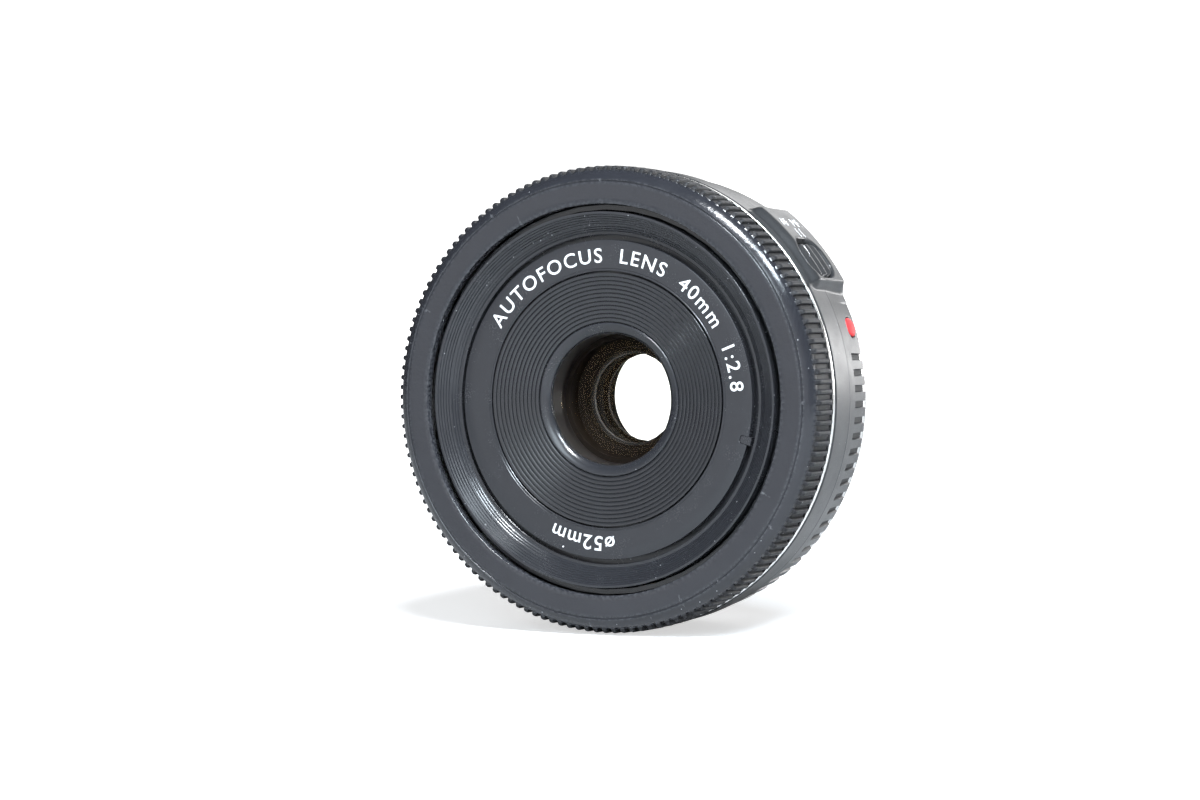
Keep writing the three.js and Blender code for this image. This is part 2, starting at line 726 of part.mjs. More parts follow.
function irisRing() {
  const pitchRadius = (IRIS_MODULE * IRIS_TEETH) / 2;
  const pitch = 360 / IRIS_TEETH;
  const spareTeeth = 2;
  const before = Math.ceil(IRIS_TURN / pitch) + spareTeeth;
  const first = IRIS_MOTOR_ANGLE - before * pitch;
  const teeth = toothCorners(IRIS_TEETH, first, before + spareTeeth + 1, pitchRadius, 0.32, 0.44);
  const last = teeth[teeth.length - 1][0];
  const inner = every(13, (i) => [THREE.MathUtils.lerp(last, first - 1, i / 12), 11.9]);
  const sector = slab(new THREE.Shape(outlineOf([...teeth, ...inner])), 11.75, 12.35);
  const slots = every(IRIS_BLADES, (k) => driveSlot(bladeAngle(k)));
  return cut(joined(washer(IRIS_STOP + 0.2, 12.6, 11.75, 12.35, COARSE), sector), ...slots);
}
add("iris_ring", irisRing(), NYLON);

const irisPinionCircle = (IRIS_MODULE * (IRIS_TEETH + IRIS_PINION_TEETH)) / 2;
const irisPinionPlace = polar(irisPinionCircle, IRIS_MOTOR_ANGLE, 0);
const irisPinion = pinion(IRIS_PINION_TEETH, IRIS_MODULE, IRIS_MOTOR_ANGLE + 180, 11.7, 12.4);
add(
  "iris_pinion",
  joined(irisPinion, rod(0.4, 0, 0, 11.1, 12.6, 10)).translate(irisPinionPlace.x, 0, irisPinionPlace.z),
  BRASS,
);
add("iris_motor", rodAt(3.1, irisPinionCircle, IRIS_MOTOR_ANGLE, 5, 10.9, 20), STEEL);

// ---- Cam followers on the inner barrel ----
for (let k = 0; k < FOLLOWERS; k++) {
  const pin = new THREE.CylinderGeometry(FOLLOWER_RADIUS, FOLLOWER_RADIUS, 2, 14).rotateX(Math.PI / 2);
  faceOutwards(add("cam_follower_" + (k + 1), pin, BRASS), followerAngle(k), 28.6, FOLLOWER_Y);
}

// ---- Electronics ----
// The board is an open ring: its gap leaves room for the focus gear train at the bottom.
add("main_board", bentBox([16.6, 26.8], [-58, 238], 20.3, 20.9, 36), BOARD);
add("controller_chip", bentBox([18.6, 24.4], [82, 98], 19.3, 20.2, 2), DULL_BLACK);
add("ring_sensor", new THREE.BoxGeometry(3, 2.4, 1.2).translate(0, 10, 31), DULL_BLACK);

// ---- Bayonet mount and rear ----
const lugAngles = [[62, 118], [180, 234], [300, 354]];

function bayonetMount() {
  const body = turned(
    [
      [BAYONET_TUBE_BORE, 21.4],
      [BAYONET_FLANGE_RADIUS, 21.4],
      [BAYONET_FLANGE_RADIUS, FLANGE_SEAT],
      [LUG_RADIUS + 0.4, FLANGE_SEAT],
      [LUG_RADIUS + 0.4, FLANGE_SEAT - 0.2],
      [BAYONET_TUBE_RADIUS, FLANGE_SEAT - 0.2],
      [BAYONET_TUBE_RADIUS, TOTAL_LENGTH],
      [BAYONET_TUBE_BORE, TOTAL_LENGTH],
    ],
    MEDIUM,
  );
  const lugs = lugAngles.map((angles) =>
    bentBox([BAYONET_TUBE_BORE + 0.5, LUG_RADIUS], angles, FLANGE_SEAT + 1.4, FLANGE_SEAT + 2.9, 12),
  );
  const recesses = every(MOUNT_SCREWS, (k) =>
    rodAt(1.8, SCREW_CIRCLE, screwAngle(k), FLANGE_SEAT - 0.9, FLANGE_SEAT + 1, 16),
  );
  const holes = every(MOUNT_SCREWS, (k) =>
    rodAt(1, SCREW_CIRCLE, screwAngle(k), 21, FLANGE_SEAT, 12),
  );
  const lockPinHole = rodAt(1.1, 29.6, 12, FLANGE_SEAT - 1, FLANGE_SEAT + 1, 12);
  return cut(joined(body, ...lugs), ...recesses, ...holes, lockPinHole);
}
add("bayonet_mount", bayonetMount(), BRUSHED);

function mountScrew(k) {
  const head = rodAt(1.55, SCREW_CIRCLE, screwAngle(k), FLANGE_SEAT - 0.7, FLANGE_SEAT - 0.1, 16);
  const shank = rodAt(0.75, SCREW_CIRCLE, screwAngle(k), BARREL_BACK - 0.7, FLANGE_SEAT - 0.5, 10);
  const centre = polar(SCREW_CIRCLE, screwAngle(k), FLANGE_SEAT - 0.1);
  const arms = [0, Math.PI / 2].map((turn) =>
    new THREE.BoxGeometry(1.6, 0.5, 0.4).rotateY(turn).translate(centre.x, centre.y, centre.z),
  );
  return cut(joined(head, shank), ...arms);
}
for (let k = 0; k < MOUNT_SCREWS; k++) add("mount_screw_" + (k + 1), mountScrew(k), POLISHED);

// Seven gilt contacts along the lower edge of the throat; the second one is wide.
const contactRow = every(CONTACTS, (k) => ({
  angle: -90 + [-23, -14.5, -5.5, 2, 8.5, 15, 21.5][k],
  radius: k === 1 ? 1.05 : 0.75,
}));
const contactCircle = 21.5;

function contactBlock() {
  const block = bentBox([19.4, 23.6], [-120, -60], 24.6, 27.7, 14);
  const sockets = contactRow.map(({ angle, radius }) =>
    rodAt(radius + 0.16, contactCircle, angle, 26, 28.5, 10),
  );
  return cut(block, ...sockets);
}
add("contact_block", contactBlock(), DULL_BLACK);
contactRow.forEach(({ angle, radius }, k) =>
  add("contact_" + (k + 1), rodAt(radius, contactCircle, angle, 26.2, 27.95, 10), GOLD),
);
add("flex_cable", bentBox([21.4, 21.6], [-70, -61], 21.1, 24.3, 2), AMBER);

// The black cover inside the throat, with a funnel that reaches the optical unit.
function rearCover() {
  const ring = turned(
    [
      [13.9, 21.8],
      [15.6, 26.1],
      [23.8, 26.1],
      [23.8, 26.9],
      [15.1, 26.9],
      [13.3, 21.8],
    ],
    COARSE,
  );
  return cut(ring, bentBox([18.9, 26], [-123, -57], 25, 28, 10));
}
add("rear_cover", rearCover(), DULL_BLACK);

export default lens;
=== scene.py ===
import json
import math

import bmesh
import bpy
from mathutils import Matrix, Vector


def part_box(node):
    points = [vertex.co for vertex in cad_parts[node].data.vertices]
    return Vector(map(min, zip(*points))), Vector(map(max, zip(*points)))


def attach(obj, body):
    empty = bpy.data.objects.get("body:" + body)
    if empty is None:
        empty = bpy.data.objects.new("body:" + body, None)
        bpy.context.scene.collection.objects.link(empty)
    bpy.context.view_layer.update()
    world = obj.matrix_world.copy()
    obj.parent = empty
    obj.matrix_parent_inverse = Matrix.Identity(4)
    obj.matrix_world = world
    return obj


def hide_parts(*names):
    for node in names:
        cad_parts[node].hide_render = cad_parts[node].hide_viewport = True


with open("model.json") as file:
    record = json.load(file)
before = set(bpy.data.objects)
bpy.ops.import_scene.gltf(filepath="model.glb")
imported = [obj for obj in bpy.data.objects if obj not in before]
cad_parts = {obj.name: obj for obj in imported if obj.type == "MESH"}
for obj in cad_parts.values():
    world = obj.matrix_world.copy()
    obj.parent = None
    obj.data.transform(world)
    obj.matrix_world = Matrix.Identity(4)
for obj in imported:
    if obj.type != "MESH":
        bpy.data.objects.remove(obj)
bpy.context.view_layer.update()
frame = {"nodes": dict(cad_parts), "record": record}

MM = 0.001

ring_low, ring_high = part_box("focus_ring")
CENTRE = Vector((0, ring_low.y, (ring_low.z + ring_high.z) / 2))
RING_RADIUS = (ring_high.z - ring_low.z) / 2 / MM
BODY_OF = {node: body for body, nodes in frame["record"]["behaviour"]["bodies"].items() for node in nodes}
SLOT_OF = {part["node"]: part["material_slot"] for part in frame["record"]["subparts"]}


def front(node):
    return (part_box(node)[0].y - CENTRE.y) / MM


def back(node):
    return (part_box(node)[1].y - CENTRE.y) / MM


def outer(node):
    low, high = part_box(node)
    return (high.z - low.z) / 2 / MM


# ---- Camera, lights and floor ----
VIEW_AZIMUTH = 26
VIEW_ELEVATION = 1.68
VIEW_DISTANCE = 581
FOCAL_LENGTH = 120


def direction(azimuth, elevation):
    """A unit vector to where this azimuth, from the front towards the right, points."""
    a, e = math.radians(azimuth), math.radians(elevation)
    return Vector((math.sin(a) * math.cos(e), -math.cos(a) * math.cos(e), math.sin(e)))


def camera():
    data = bpy.data.cameras.new("camera")
    data.lens = FOCAL_LENGTH
    data.sensor_width = 36
    data.clip_start = 0.01
    made = bpy.data.objects.new("camera", data)
    bpy.context.scene.collection.objects.link(made)
    towards = direction(VIEW_AZIMUTH, VIEW_ELEVATION)
    made.location = CENTRE + towards * VIEW_DISTANCE * MM
    made.rotation_euler = (-towards).to_track_quat("-Z", "Y").to_euler()
    bpy.context.scene.camera = made


def softbox(name, azimuth, elevation, distance, width, height, radiance, colour):
    """A rectangular light that faces the lens. Its distance and sides are in metres."""
    data = bpy.data.lights.new(name, "AREA")
    data.shape = "RECTANGLE"
    data.size = width
    data.size_y = height
    data.energy = radiance * math.pi * width * height
    data.color = colour
    made = bpy.data.objects.new(name, data)
    bpy.context.scene.collection.objects.link(made)
    away = direction(azimuth, elevation)
    made.location = CENTRE + away * distance
    made.rotation_euler = away.to_track_quat("Z", "Y").to_euler()
    made.visible_camera = False


def lights():
    """Five softboxes in a room that is bright behind the camera and white where it is seen."""
    softbox("key", 31, 56, 0.8, 0.16, 0.1, 180.0, (0.92, 0.96, 1.0))
    softbox("side_window", 56, 47, 0.9, 0.22, 0.16, 75.0, (0.8, 0.91, 1.0))
    softbox("front_window", 10, 26, 1.1, 0.55, 0.36, 8.0, (0.8, 0.92, 1.0))
    softbox("back_wall", 147, 0, 1.6, 1.5, 0.7, 7.0, (1.0, 1.0, 1.0))
    softbox("back_fill", 176, 29, 1.7, 1.3, 0.9, 2.4, (1.0, 1.0, 1.0))
    world = bpy.data.worlds.new("studio")
    world.use_nodes = True
    bpy.context.scene.world = world
    tree = world.node_tree
    surround = tree.nodes["Background"]
    surround.inputs["Color"].default_value = (0.96, 0.975, 1.0, 1)
    sky = tree.nodes.new("ShaderNodeTexCoord")
    split = tree.nodes.new("ShaderNodeSeparateXYZ")
    fall = tree.nodes.new("ShaderNodeMapRange")
    fall.inputs["From Min"].default_value = 0.05
    fall.inputs["From Max"].default_value = 0.75
    fall.inputs["To Min"].default_value = 1.3
    fall.inputs["To Max"].default_value = 0.45
    ahead = tree.nodes.new("ShaderNodeMapRange")
    ahead.inputs["From Min"].default_value = -0.45
    ahead.inputs["From Max"].default_value = -0.88
    ahead.inputs["To Min"].default_value = 0.05
    strength = tree.nodes.new("ShaderNodeMath")
    strength.operation = "MULTIPLY"
    tree.links.new(sky.outputs["Generated"], split.inputs[0])
    tree.links.new(split.outputs[1], ahead.inputs["Value"])
    tree.links.new(split.outputs[2], fall.inputs["Value"])
    tree.links.new(fall.outputs[0], strength.inputs[0])
    tree.links.new(ahead.outputs[0], strength.inputs[1])
    tree.links.new(strength.outputs[0], surround.inputs["Strength"])
    seen = tree.nodes.new("ShaderNodeBackground")
    seen.inputs["Color"].default_value = (1, 1, 1, 1)
    seen.inputs["Strength"].default_value = 1.15
    path = tree.nodes.new("ShaderNodeLightPath")
    mixed = tree.nodes.new("ShaderNodeMixShader")
    tree.links.new(path.outputs["Is Camera Ray"], mixed.inputs[0])
    tree.links.new(surround.outputs[0], mixed.inputs[1])
    tree.links.new(seen.outputs[0], mixed.inputs[2])
    tree.links.new(mixed.outputs[0], tree.nodes["World Output"].inputs["Surface"])
    bpy.context.scene.view_settings.view_transform = "Standard"
    bpy.context.scene.cycles.transparent_max_bounces = 32


# ---- Materials ----
class Finish:
    """A material and short ways to add its nodes; each method gives an output socket."""

    def __init__(self, name):
        self.material = bpy.data.materials.new(name)
        self.material.use_nodes = True
        self.tree = self.material.node_tree
        self.shader = self.tree.nodes["Principled BSDF"]

    def feed(self, socket, value):
        if isinstance(value, bpy.types.NodeSocket):
            self.tree.links.new(value, socket)
        else:
            socket.default_value = value

    def add(self, kind, inputs, output=0, **settings):
        node = self.tree.nodes.new(kind)
        for key, value in settings.items():
            setattr(node, key, value)
        for key, value in inputs.items():
            self.feed(node.inputs[key], value)
        return node.outputs[output]

    def maths(self, operation, a, b=0.0):
        return self.add("ShaderNodeMath", {0: a, 1: b}, operation=operation)

    def spread(self, value, low, high, to_low=0.0, to_high=1.0):
        inputs = {"From Min": low, "From Max": high, "To Min": to_low, "To Max": to_high}
        return self.add("ShaderNodeMapRange", {"Value": value, **inputs})

    def mix(self, share, a, b):
        inputs = {0: share, 6: a, 7: b}
        return self.add("ShaderNodeMix", inputs, output=2, data_type="RGBA")

    def position(self):
        return self.add("ShaderNodeTexCoord", {}, output="Object")

    def noise(self, size, detail=3.0):
        """Noise whose blotches are about this many millimetres across."""
        inputs = {"Vector": self.position(), "Scale": 1 / (size * MM), "Detail": detail}
        return self.add("ShaderNodeTexNoise", inputs)

    def from_axis(self):
        """The offset from the ring's middle, the same flattened onto its face, and its length."""
        vector = {0: self.position(), 1: tuple(CENTRE)}
        moved = self.add("ShaderNodeVectorMath", vector, operation="SUBTRACT")
        flat = self.add("ShaderNodeVectorMath", {0: moved, 1: (1, 0, 1)}, operation="MULTIPLY")
        radius = self.add("ShaderNodeVectorMath", {0: flat}, output="Value", operation="LENGTH")
        return moved, flat, radius

    def beyond(self, radius_mm, blend_mm):
        """0 nearer the axis than this radius and 1 farther out."""
        edge = radius_mm * MM
        return self.spread(self.from_axis()[2], edge - blend_mm * MM, edge + blend_mm * MM)

    def round_grain(self, per_mm, length):
        """Noise drawn out round the optical axis, as a lathe leaves it."""
        moved, flat, radius = self.from_axis()
        round_it = self.add("ShaderNodeVectorMath", {0: flat}, operation="NORMALIZE")
        spun = self.add("ShaderNodeVectorMath", {0: round_it, "Scale": length}, operation="SCALE")
        split = self.tree.nodes.new("ShaderNodeSeparateXYZ")
        self.feed(split.inputs[0], spun)
        depth = self.tree.nodes.new("ShaderNodeSeparateXYZ")
        self.feed(depth.inputs[0], moved)
        along = self.maths("MULTIPLY", radius, per_mm / MM)
        inputs = {0: split.outputs[0], 1: along, 2: split.outputs[2]}
        joined = self.add("ShaderNodeCombineXYZ", inputs)
        level = self.maths("MULTIPLY", depth.outputs[1], per_mm / MM)
        inputs = {"Vector": joined, "W": level, "Scale": 1.0, "Detail": 2.0}
        return self.add("ShaderNodeTexNoise", inputs, noise_dimensions="4D")

    def relief(self, height, depth):
        return self.add("ShaderNodeBump", {"Height": height, "Distance": depth * MM, "Strength": 1.0})

    def set(self, **values):
        for key, value in values.items():
            self.feed(self.shader.inputs[key.replace("_", " ")], value)
        return self.material


def shade(colour, factor):
    return tuple(min(1.0, channel * factor) for channel in colour[:3]) + (1.0,)


def moulded(
    name, colour, roughness, grain=0.16, relief=0.006, worn=0.0, dust=0.0, marks=0.0,
    zone=None, ripple=0.0, painted_groove_shade=0.0,
):
    """Moulded or painted plastic. grain is the size of its relief and ripple the share of a
    coarser one. worn rubs the edges bare, dust strews specks, marks adds turned lines, grime
    paints shade: it darkens the colour where the grime attribute marks the groove floors,
    and zone is what changes beyond a radius."""
    f = Finish(name)
    grains = f.noise(grain, 4.0)
    blotches = f.noise(4.0, 2.0)
    near = (*colour, 1)
    gloss = roughness
    if zone:
        radius, blend, far_colour, far_roughness, sheen, far_sheen = zone
        far = f.beyond(radius, blend)
        near = f.mix(far, near, (*far_colour, 1))
        gloss = f.spread(far, 0.0, 1.0, roughness, far_roughness)
        f.set(Specular_IOR_Level=f.spread(far, 0.0, 1.0, sheen, far_sheen))
    shading = f.mix(f.spread(blotches, 0.3, 0.7), (0.86, 0.86, 0.86, 1), (1, 1, 1, 1))
    shading = f.mix(f.spread(grains, 0.3, 0.7), shading, (1, 1, 1, 1))
    inputs = {0: 1.0, 6: near, 7: shading}
    tone = f.add("ShaderNodeMix", inputs, output=2, data_type="RGBA", blend_type="MULTIPLY")
    gloss = f.maths("ADD", f.spread(blotches, 0.3, 0.7, -0.04, 0.04), gloss)
    gloss = f.maths("ADD", gloss, f.spread(grains, 0.3, 0.7, -0.05, 0.05))
    if worn:
        point = f.add("ShaderNodeNewGeometry", {}, output="Pointiness")
        edge = f.maths("MULTIPLY", f.spread(point, 0.51, 0.6), f.spread(f.noise(0.5), 0.42, 0.62))
        tone = f.mix(f.maths("MULTIPLY", edge, worn), tone, (0.3, 0.31, 0.33, 1))
    if dust:
        cells = f.tree.nodes.new("ShaderNodeTexVoronoi")
        f.feed(cells.inputs["Vector"], f.position())
        f.feed(cells.inputs["Scale"], 900.0)
        speck = f.spread(cells.outputs["Distance"], 0.085, 0.05)
        chosen = f.spread(cells.outputs["Color"], 0.6, 0.61)
        shown = f.maths("MULTIPLY", f.maths("MULTIPLY", speck, chosen), dust)
        tone = f.mix(shown, tone, (0.6, 0.62, 0.66, 1))
    # Painted shade: the colour darkens where the grime attribute marks groove floors, standing for their
    # shadow; the roughness rises there too.
    if painted_groove_shade:
        packed = f.add("ShaderNodeAttribute", {}, output="Fac", attribute_name="painted_groove_shade")
        groove_shade_share = f.maths("MULTIPLY", packed, painted_groove_shade)
        tone = f.mix(groove_shade_share, tone, (0.01, 0.01, 0.011, 1))
        gloss = f.maths("ADD", gloss, f.maths("MULTIPLY", groove_shade_share, 0.5))
    height = grains
    if marks:
        height = f.maths("ADD", grains, f.maths("MULTIPLY", f.round_grain(7.0, 1.5), marks))
    if ripple:
        height = f.maths("ADD", height, f.maths("MULTIPLY", f.noise(0.7, 2.0), ripple))
    return f.set(Base_Color=tone, Roughness=gloss, Normal=f.relief(height, relief))


def turned_metal(name, colour, roughness, per_mm=9.0, relief=0.002):
    f = Finish(name)
    lines = f.round_grain(per_mm, 1.2)
    blotches = f.noise(6.0)
    tone = f.mix(lines, shade(colour, 0.82), shade(colour, 1.1))
    tone = f.mix(f.maths("MULTIPLY", blotches, 0.25), tone, shade(colour, 0.7))
    gloss = f.maths("ADD", f.spread(lines, 0.3, 0.7, -0.08, 0.08), roughness)
    return f.set(Base_Color=tone, Metallic=1.0, Roughness=gloss, Normal=f.relief(lines, relief))


def plain_metal(name, colour, roughness, grain=0.4, relief=0.002, blackened=0.0):
    """Metal; what lies nearer the axis than the blackened radius is coated black."""
    f = Finish(name)
    grains = f.noise(grain)
    tone = f.mix(grains, shade(colour, 0.85), shade(colour, 1.1))
    if blackened:
        tone = f.mix(f.beyond(blackened, 0.2), (0.02, 0.02, 0.022, 1), tone)
    gloss = f.maths("ADD", f.spread(grains, 0.3, 0.7, -0.05, 0.08), roughness)
    return f.set(Base_Color=tone, Metallic=1.0, Roughness=gloss, Normal=f.relief(grains, relief))


def coated_glass(name, tint):
    """Clear glass whose coating leaves only a faint tinted reflection."""
    f = Finish(name)
    clear = f.add("ShaderNodeBsdfTransparent", {"Color": (0.998, 0.998, 0.995, 1)})
    smear = f.spread(f.noise(2.5), 0.35, 0.65, 0.01, 0.035)
    gloss = f.add("ShaderNodeBsdfAnisotropic", {"Color": tint, "Roughness": smear})
    facing = f.add("ShaderNodeFresnel", {"IOR": 1.45})
    share = f.maths("MULTIPLY", facing, 0.07)
    both = f.add("ShaderNodeMixShader", {0: share, 1: clear, 2: gloss})
    f.feed(f.tree.nodes["Material Output"].inputs["Surface"], both)
    f.tree.nodes.remove(f.shader)
    return f.material


def circuit_board(name):
    f = Finish(name)
    inputs = {"Vector": f.position(), "Scale": 500.0, "Mortar Size": 0.03}
    tracks = f.add("ShaderNodeTexBrick", inputs, output="Fac")
    tone = f.mix(tracks, (0.01, 0.032, 0.018, 1), (0.022, 0.06, 0.034, 1))
    tone = f.mix(f.maths("MULTIPLY", f.noise(0.6), 0.4), tone, (0.006, 0.02, 0.012, 1))
    return f.set(Base_Color=tone, Roughness=0.4, Normal=f.relief(tracks, 0.03))


# What changes beyond a radius: its blend, the colour and roughness there, and the sheen on both sides.
INNER_TUBE = (29.0, 0.2, (0.026, 0.027, 0.029), 0.36, 0.5, 0.5)
RIBS = (33.49, 0.05, (0.019, 0.019, 0.021), 0.52, 0.5, 0.16)
IRIS_ZONE = (16.5, 0.3, (0.16, 0.165, 0.17), 0.5, 0.2, 0.5)
DOT = (20.0, 1.0, (0.74, 0.05, 0.055), 0.5, 0.15, 0.15)
CONE = (9.65, 0.1, (0.014, 0.015, 0.018), 0.19, 0.06, 0.62)


def materials():
    return {
        "barrel_black": moulded(
            "barrel_black", (0.022, 0.023, 0.027), 0.22, relief=0.003, dust=0.5, zone=INNER_TUBE, painted_groove_shade=0.55
        ),
        "focus_ring_black": moulded(
            "focus_ring_black", (0.023, 0.024, 0.029), 0.17, worn=0.3, dust=0.8, zone=RIBS, ripple=5.0
        ),
        # The cell bores' near-black is their black paint; its brown tint is painted reflection, standing for
        # the coated glass's copper glints.
        "baffle_black": moulded(
            "baffle_black", (0.008, 0.0055, 0.004), 0.5, grain=0.1, marks=0.15, zone=CONE
        ),
        "trim_metal": turned_metal("trim_metal", (0.9, 0.9, 0.89), 0.14),
        "mount_metal": turned_metal("mount_metal", (0.68, 0.68, 0.68), 0.3),
        "screw_metal": plain_metal("screw_metal", (0.8, 0.8, 0.8), 0.2),
        "spring_metal": plain_metal("spring_metal", (0.5, 0.51, 0.53), 0.35, blackened=13.6),
        "brass": plain_metal("brass", (0.7, 0.5, 0.25), 0.3),
        "gold_contact": plain_metal("gold_contact", (0.9, 0.68, 0.3), 0.2, grain=0.2),
        "index_red": moulded("index_red", (0.74, 0.05, 0.055), 0.5, grain=0.3, relief=0.004, zone=DOT),
        "nylon": moulded("nylon", (0.016, 0.016, 0.017), 0.5, grain=0.3, zone=IRIS_ZONE),
        "board": circuit_board("board"),
        "amber_film": moulded("amber_film", (0.5, 0.24, 0.05), 0.3, grain=0.5, relief=0.003),
        "coated_glass": coated_glass("coated_glass", (1.0, 0.75, 0.45, 1)),
        "marking_white": moulded("marking_white", (0.84, 0.85, 0.87), 0.5, grain=0.2, relief=0.003),
    }


# ---- Shapes ----
def place(radius, degrees, depth):
    angle = math.radians(degrees)
    return CENTRE + MM * Vector((radius * math.cos(angle), depth, radius * math.sin(angle)))


def smooth(share):
    share = min(1.0, max(0.0, share))
    return share * share * (3 - 2 * share)


def lerp(a, b, share):
    return a + (b - a) * share


def every(start, end, step):
    """Even stops from start to end, about this far apart, both ends included."""
    count = max(1, round(abs(end - start) / step))
    return [lerp(start, end, i / count) for i in range(count + 1)]


def build(name, points, faces, sharp=35):
    mesh = bpy.data.meshes.new(name)
    mesh.from_pydata(points, [], faces)
    work = bmesh.new()
    work.from_mesh(mesh)
    bmesh.ops.remove_doubles(work, verts=work.verts, dist=1e-7)
    bmesh.ops.recalc_face_normals(work, faces=work.faces)
    work.to_mesh(mesh)
    work.free()
    mesh.shade_smooth()
    mesh.set_sharp_from_angle(angle=math.radians(sharp))
    piece = bpy.data.objects.new(name, mesh)
    bpy.context.scene.collection.objects.link(piece)
    return piece


def skinned(name, stations, closed=True, sharp=35):
    """Joins a row of closed outlines, each a list of points, into one closed body."""
    count = len(stations[0])
    points = [point for station in stations for point in station]
    faces = []
    for i in range(len(stations) if closed else len(stations) - 1):
        j = (i + 1) % len(stations)
        for k in range(count):
            m = (k + 1) % count
            faces.append((i * count + k, j * count + k, j * count + m, i * count + m))
    if not closed:
        last = (len(stations) - 1) * count
        faces.append(tuple(range(count)))
        faces.append(tuple(range(last, last + count)))
    return build(name, points, faces, sharp)


def ring(name, angles, outline_at, sharp=35):
    """A ring whose outline of (radius, angle, depth) points may change round it."""
    stations = [[place(*point) for point in outline_at(angle)] for angle in angles]
    return skinned(name, stations, sharp=sharp)


def turned(name, outline, steps=240, sharp=35):
    angles = [360 * i / steps for i in range(steps)]
    return ring(name, angles, lambda angle: [(r, angle, depth) for r, depth in outline], sharp)


def eased(corners, fillet, steps=3):
    """A closed outline with each corner rounded by about this much."""
    outline = []
    for k, corner in enumerate(corners):
        here = Vector(corner)
        before = Vector(corners[k - 1]) - here
        after = Vector(corners[(k + 1) % len(corners)]) - here
        start = here + before.normalized() * min(fillet, 0.45 * before.length)
        end = here + after.normalized() * min(fillet, 0.45 * after.length)
        for i in range(steps + 1):
            t = i / steps
            outline.append(tuple(start * (1 - t) ** 2 + here * 2 * t * (1 - t) + end * t**2))
    return outline


class Spot:
    """A place on the object with its own axes: x and y across it, z out of it."""

    def __init__(self, radius, degrees, depth, out=True):
        angle = math.radians(degrees)
        self.origin = place(radius, degrees, depth)
        radial = Vector((math.cos(angle), 0, math.sin(angle)))
        self.x = Vector((-math.sin(angle), 0, math.cos(angle)))
        self.y = Vector((0, 1, 0)) if out else radial
        self.z = radial if out else Vector((0, 1, 0))

    def at(self, x, y, z):
        return self.origin + MM * (self.x * x + self.y * y + self.z * z)


def raised(name, spot, edge, top, floor, rings=14, spokes=64, sharp=35):
    """A button: edge(angle) is its outline's radius, top(x, y, share) its height, floor its foot."""
    stations = []
    for i in range(spokes):
        angle = 2 * math.pi * i / spokes
        reach = edge(angle)
        spoke = [spot.at(0, 0, top(0, 0, 0))]
        for k in range(1, rings + 1):
            share = k / rings
            x, y = reach * share * math.cos(angle), reach * share * math.sin(angle)
            spoke.append(spot.at(x, y, top(x, y, share)))
        x, y = reach * math.cos(angle), reach * math.sin(angle)
        spoke.append(spot.at(x, y, floor + 0.03))
        spoke.append(spot.at(x * 0.99, y * 0.99, floor))
        spoke.append(spot.at(0, 0, floor))
        stations.append(spoke)
    return skinned(name, stations, sharp=sharp)


def stadium(x, y, half_x, half_y, corner):
    """Distance from a rounded rectangle's edge, negative inside it."""
    dx, dy = abs(x) - half_x + corner, abs(y) - half_y + corner
    outside = math.hypot(max(dx, 0), max(dy, 0))
    return outside + min(max(dx, dy), 0) - corner


def stadium_edge(half_x, half_y, corner):
    """The same rounded rectangle as a radius for each direction, in radians."""

    def edge(angle):
        low, high = 0.0, half_x + half_y
        for _ in range(24):
            middle = (low + high) / 2
            inside = stadium(middle * math.cos(angle), middle * math.sin(angle), half_x, half_y, corner) < 0
            low, high = (middle, high) if inside else (low, middle)
        return low

    return edge


LETTER_RISE = 0.03


def lettering(name, words, height, lay, weight=0.0, spacing=1.0, fit=None):
    """Raised letters. lay(x, y, z) places a point: x along the line from its middle, y above its
    foot and z above the surface. weight thickens the strokes, and fit is the length that the
    whole line is stretched to."""
    cap_share = 0.69
    curve = bpy.data.curves.new(name + "_line", "FONT")
    curve.body = words
    curve.size = height / cap_share
    curve.offset = weight
    curve.extrude = LETTER_RISE
    curve.space_character = spacing
    curve.resolution_u = 5
    line = bpy.data.objects.new(name + "_line", curve)
    bpy.context.scene.collection.objects.link(line)
    graph = bpy.context.evaluated_depsgraph_get()
    graph.update()
    mesh = bpy.data.meshes.new_from_object(line.evaluated_get(graph))
    bpy.data.objects.remove(line)
    work = bmesh.new()
    work.from_mesh(mesh)
    bmesh.ops.remove_doubles(work, verts=work.verts, dist=1e-4)
    low = min(v.co.x for v in work.verts)
    high = max(v.co.x for v in work.verts)
    stretch = fit / (high - low) if fit else 1.0
    for v in work.verts:
        v.co = lay((v.co.x - (low + high) / 2) * stretch, v.co.y, v.co.z + LETTER_RISE)
    bmesh.ops.recalc_face_normals(work, faces=work.faces)
    work.to_mesh(mesh)
    work.free()
    mesh.name = name
    piece = bpy.data.objects.new(name, mesh)
    bpy.context.scene.collection.objects.link(piece)
    return piece


# ---- How a piece joins the object ----
def finish_with(piece, slot):
    piece.data.materials.clear()
    piece.data.materials.append(MATERIALS[slot])


def stands_for(piece, *nodes):
    """The piece takes the place, body and finish of these CAD nodes."""
    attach(piece, BODY_OF[nodes[0]])
    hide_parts(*nodes)
    finish_with(piece, SLOT_OF[nodes[0]])
    return piece


def marking(piece, body, slot="marking_white"):
    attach(piece, body)
    finish_with(piece, slot)
    return piece


# ---- Focus ring ----
TEETH = 144
KNURL_DEPTH = 0.52
KNURL_FRONT = 1.3
KNURL_BACK = 6.2
RIB_TOP = 0.17  # half the rib's top and foot, as shares of the pitch
RIB_FOOT = 0.28


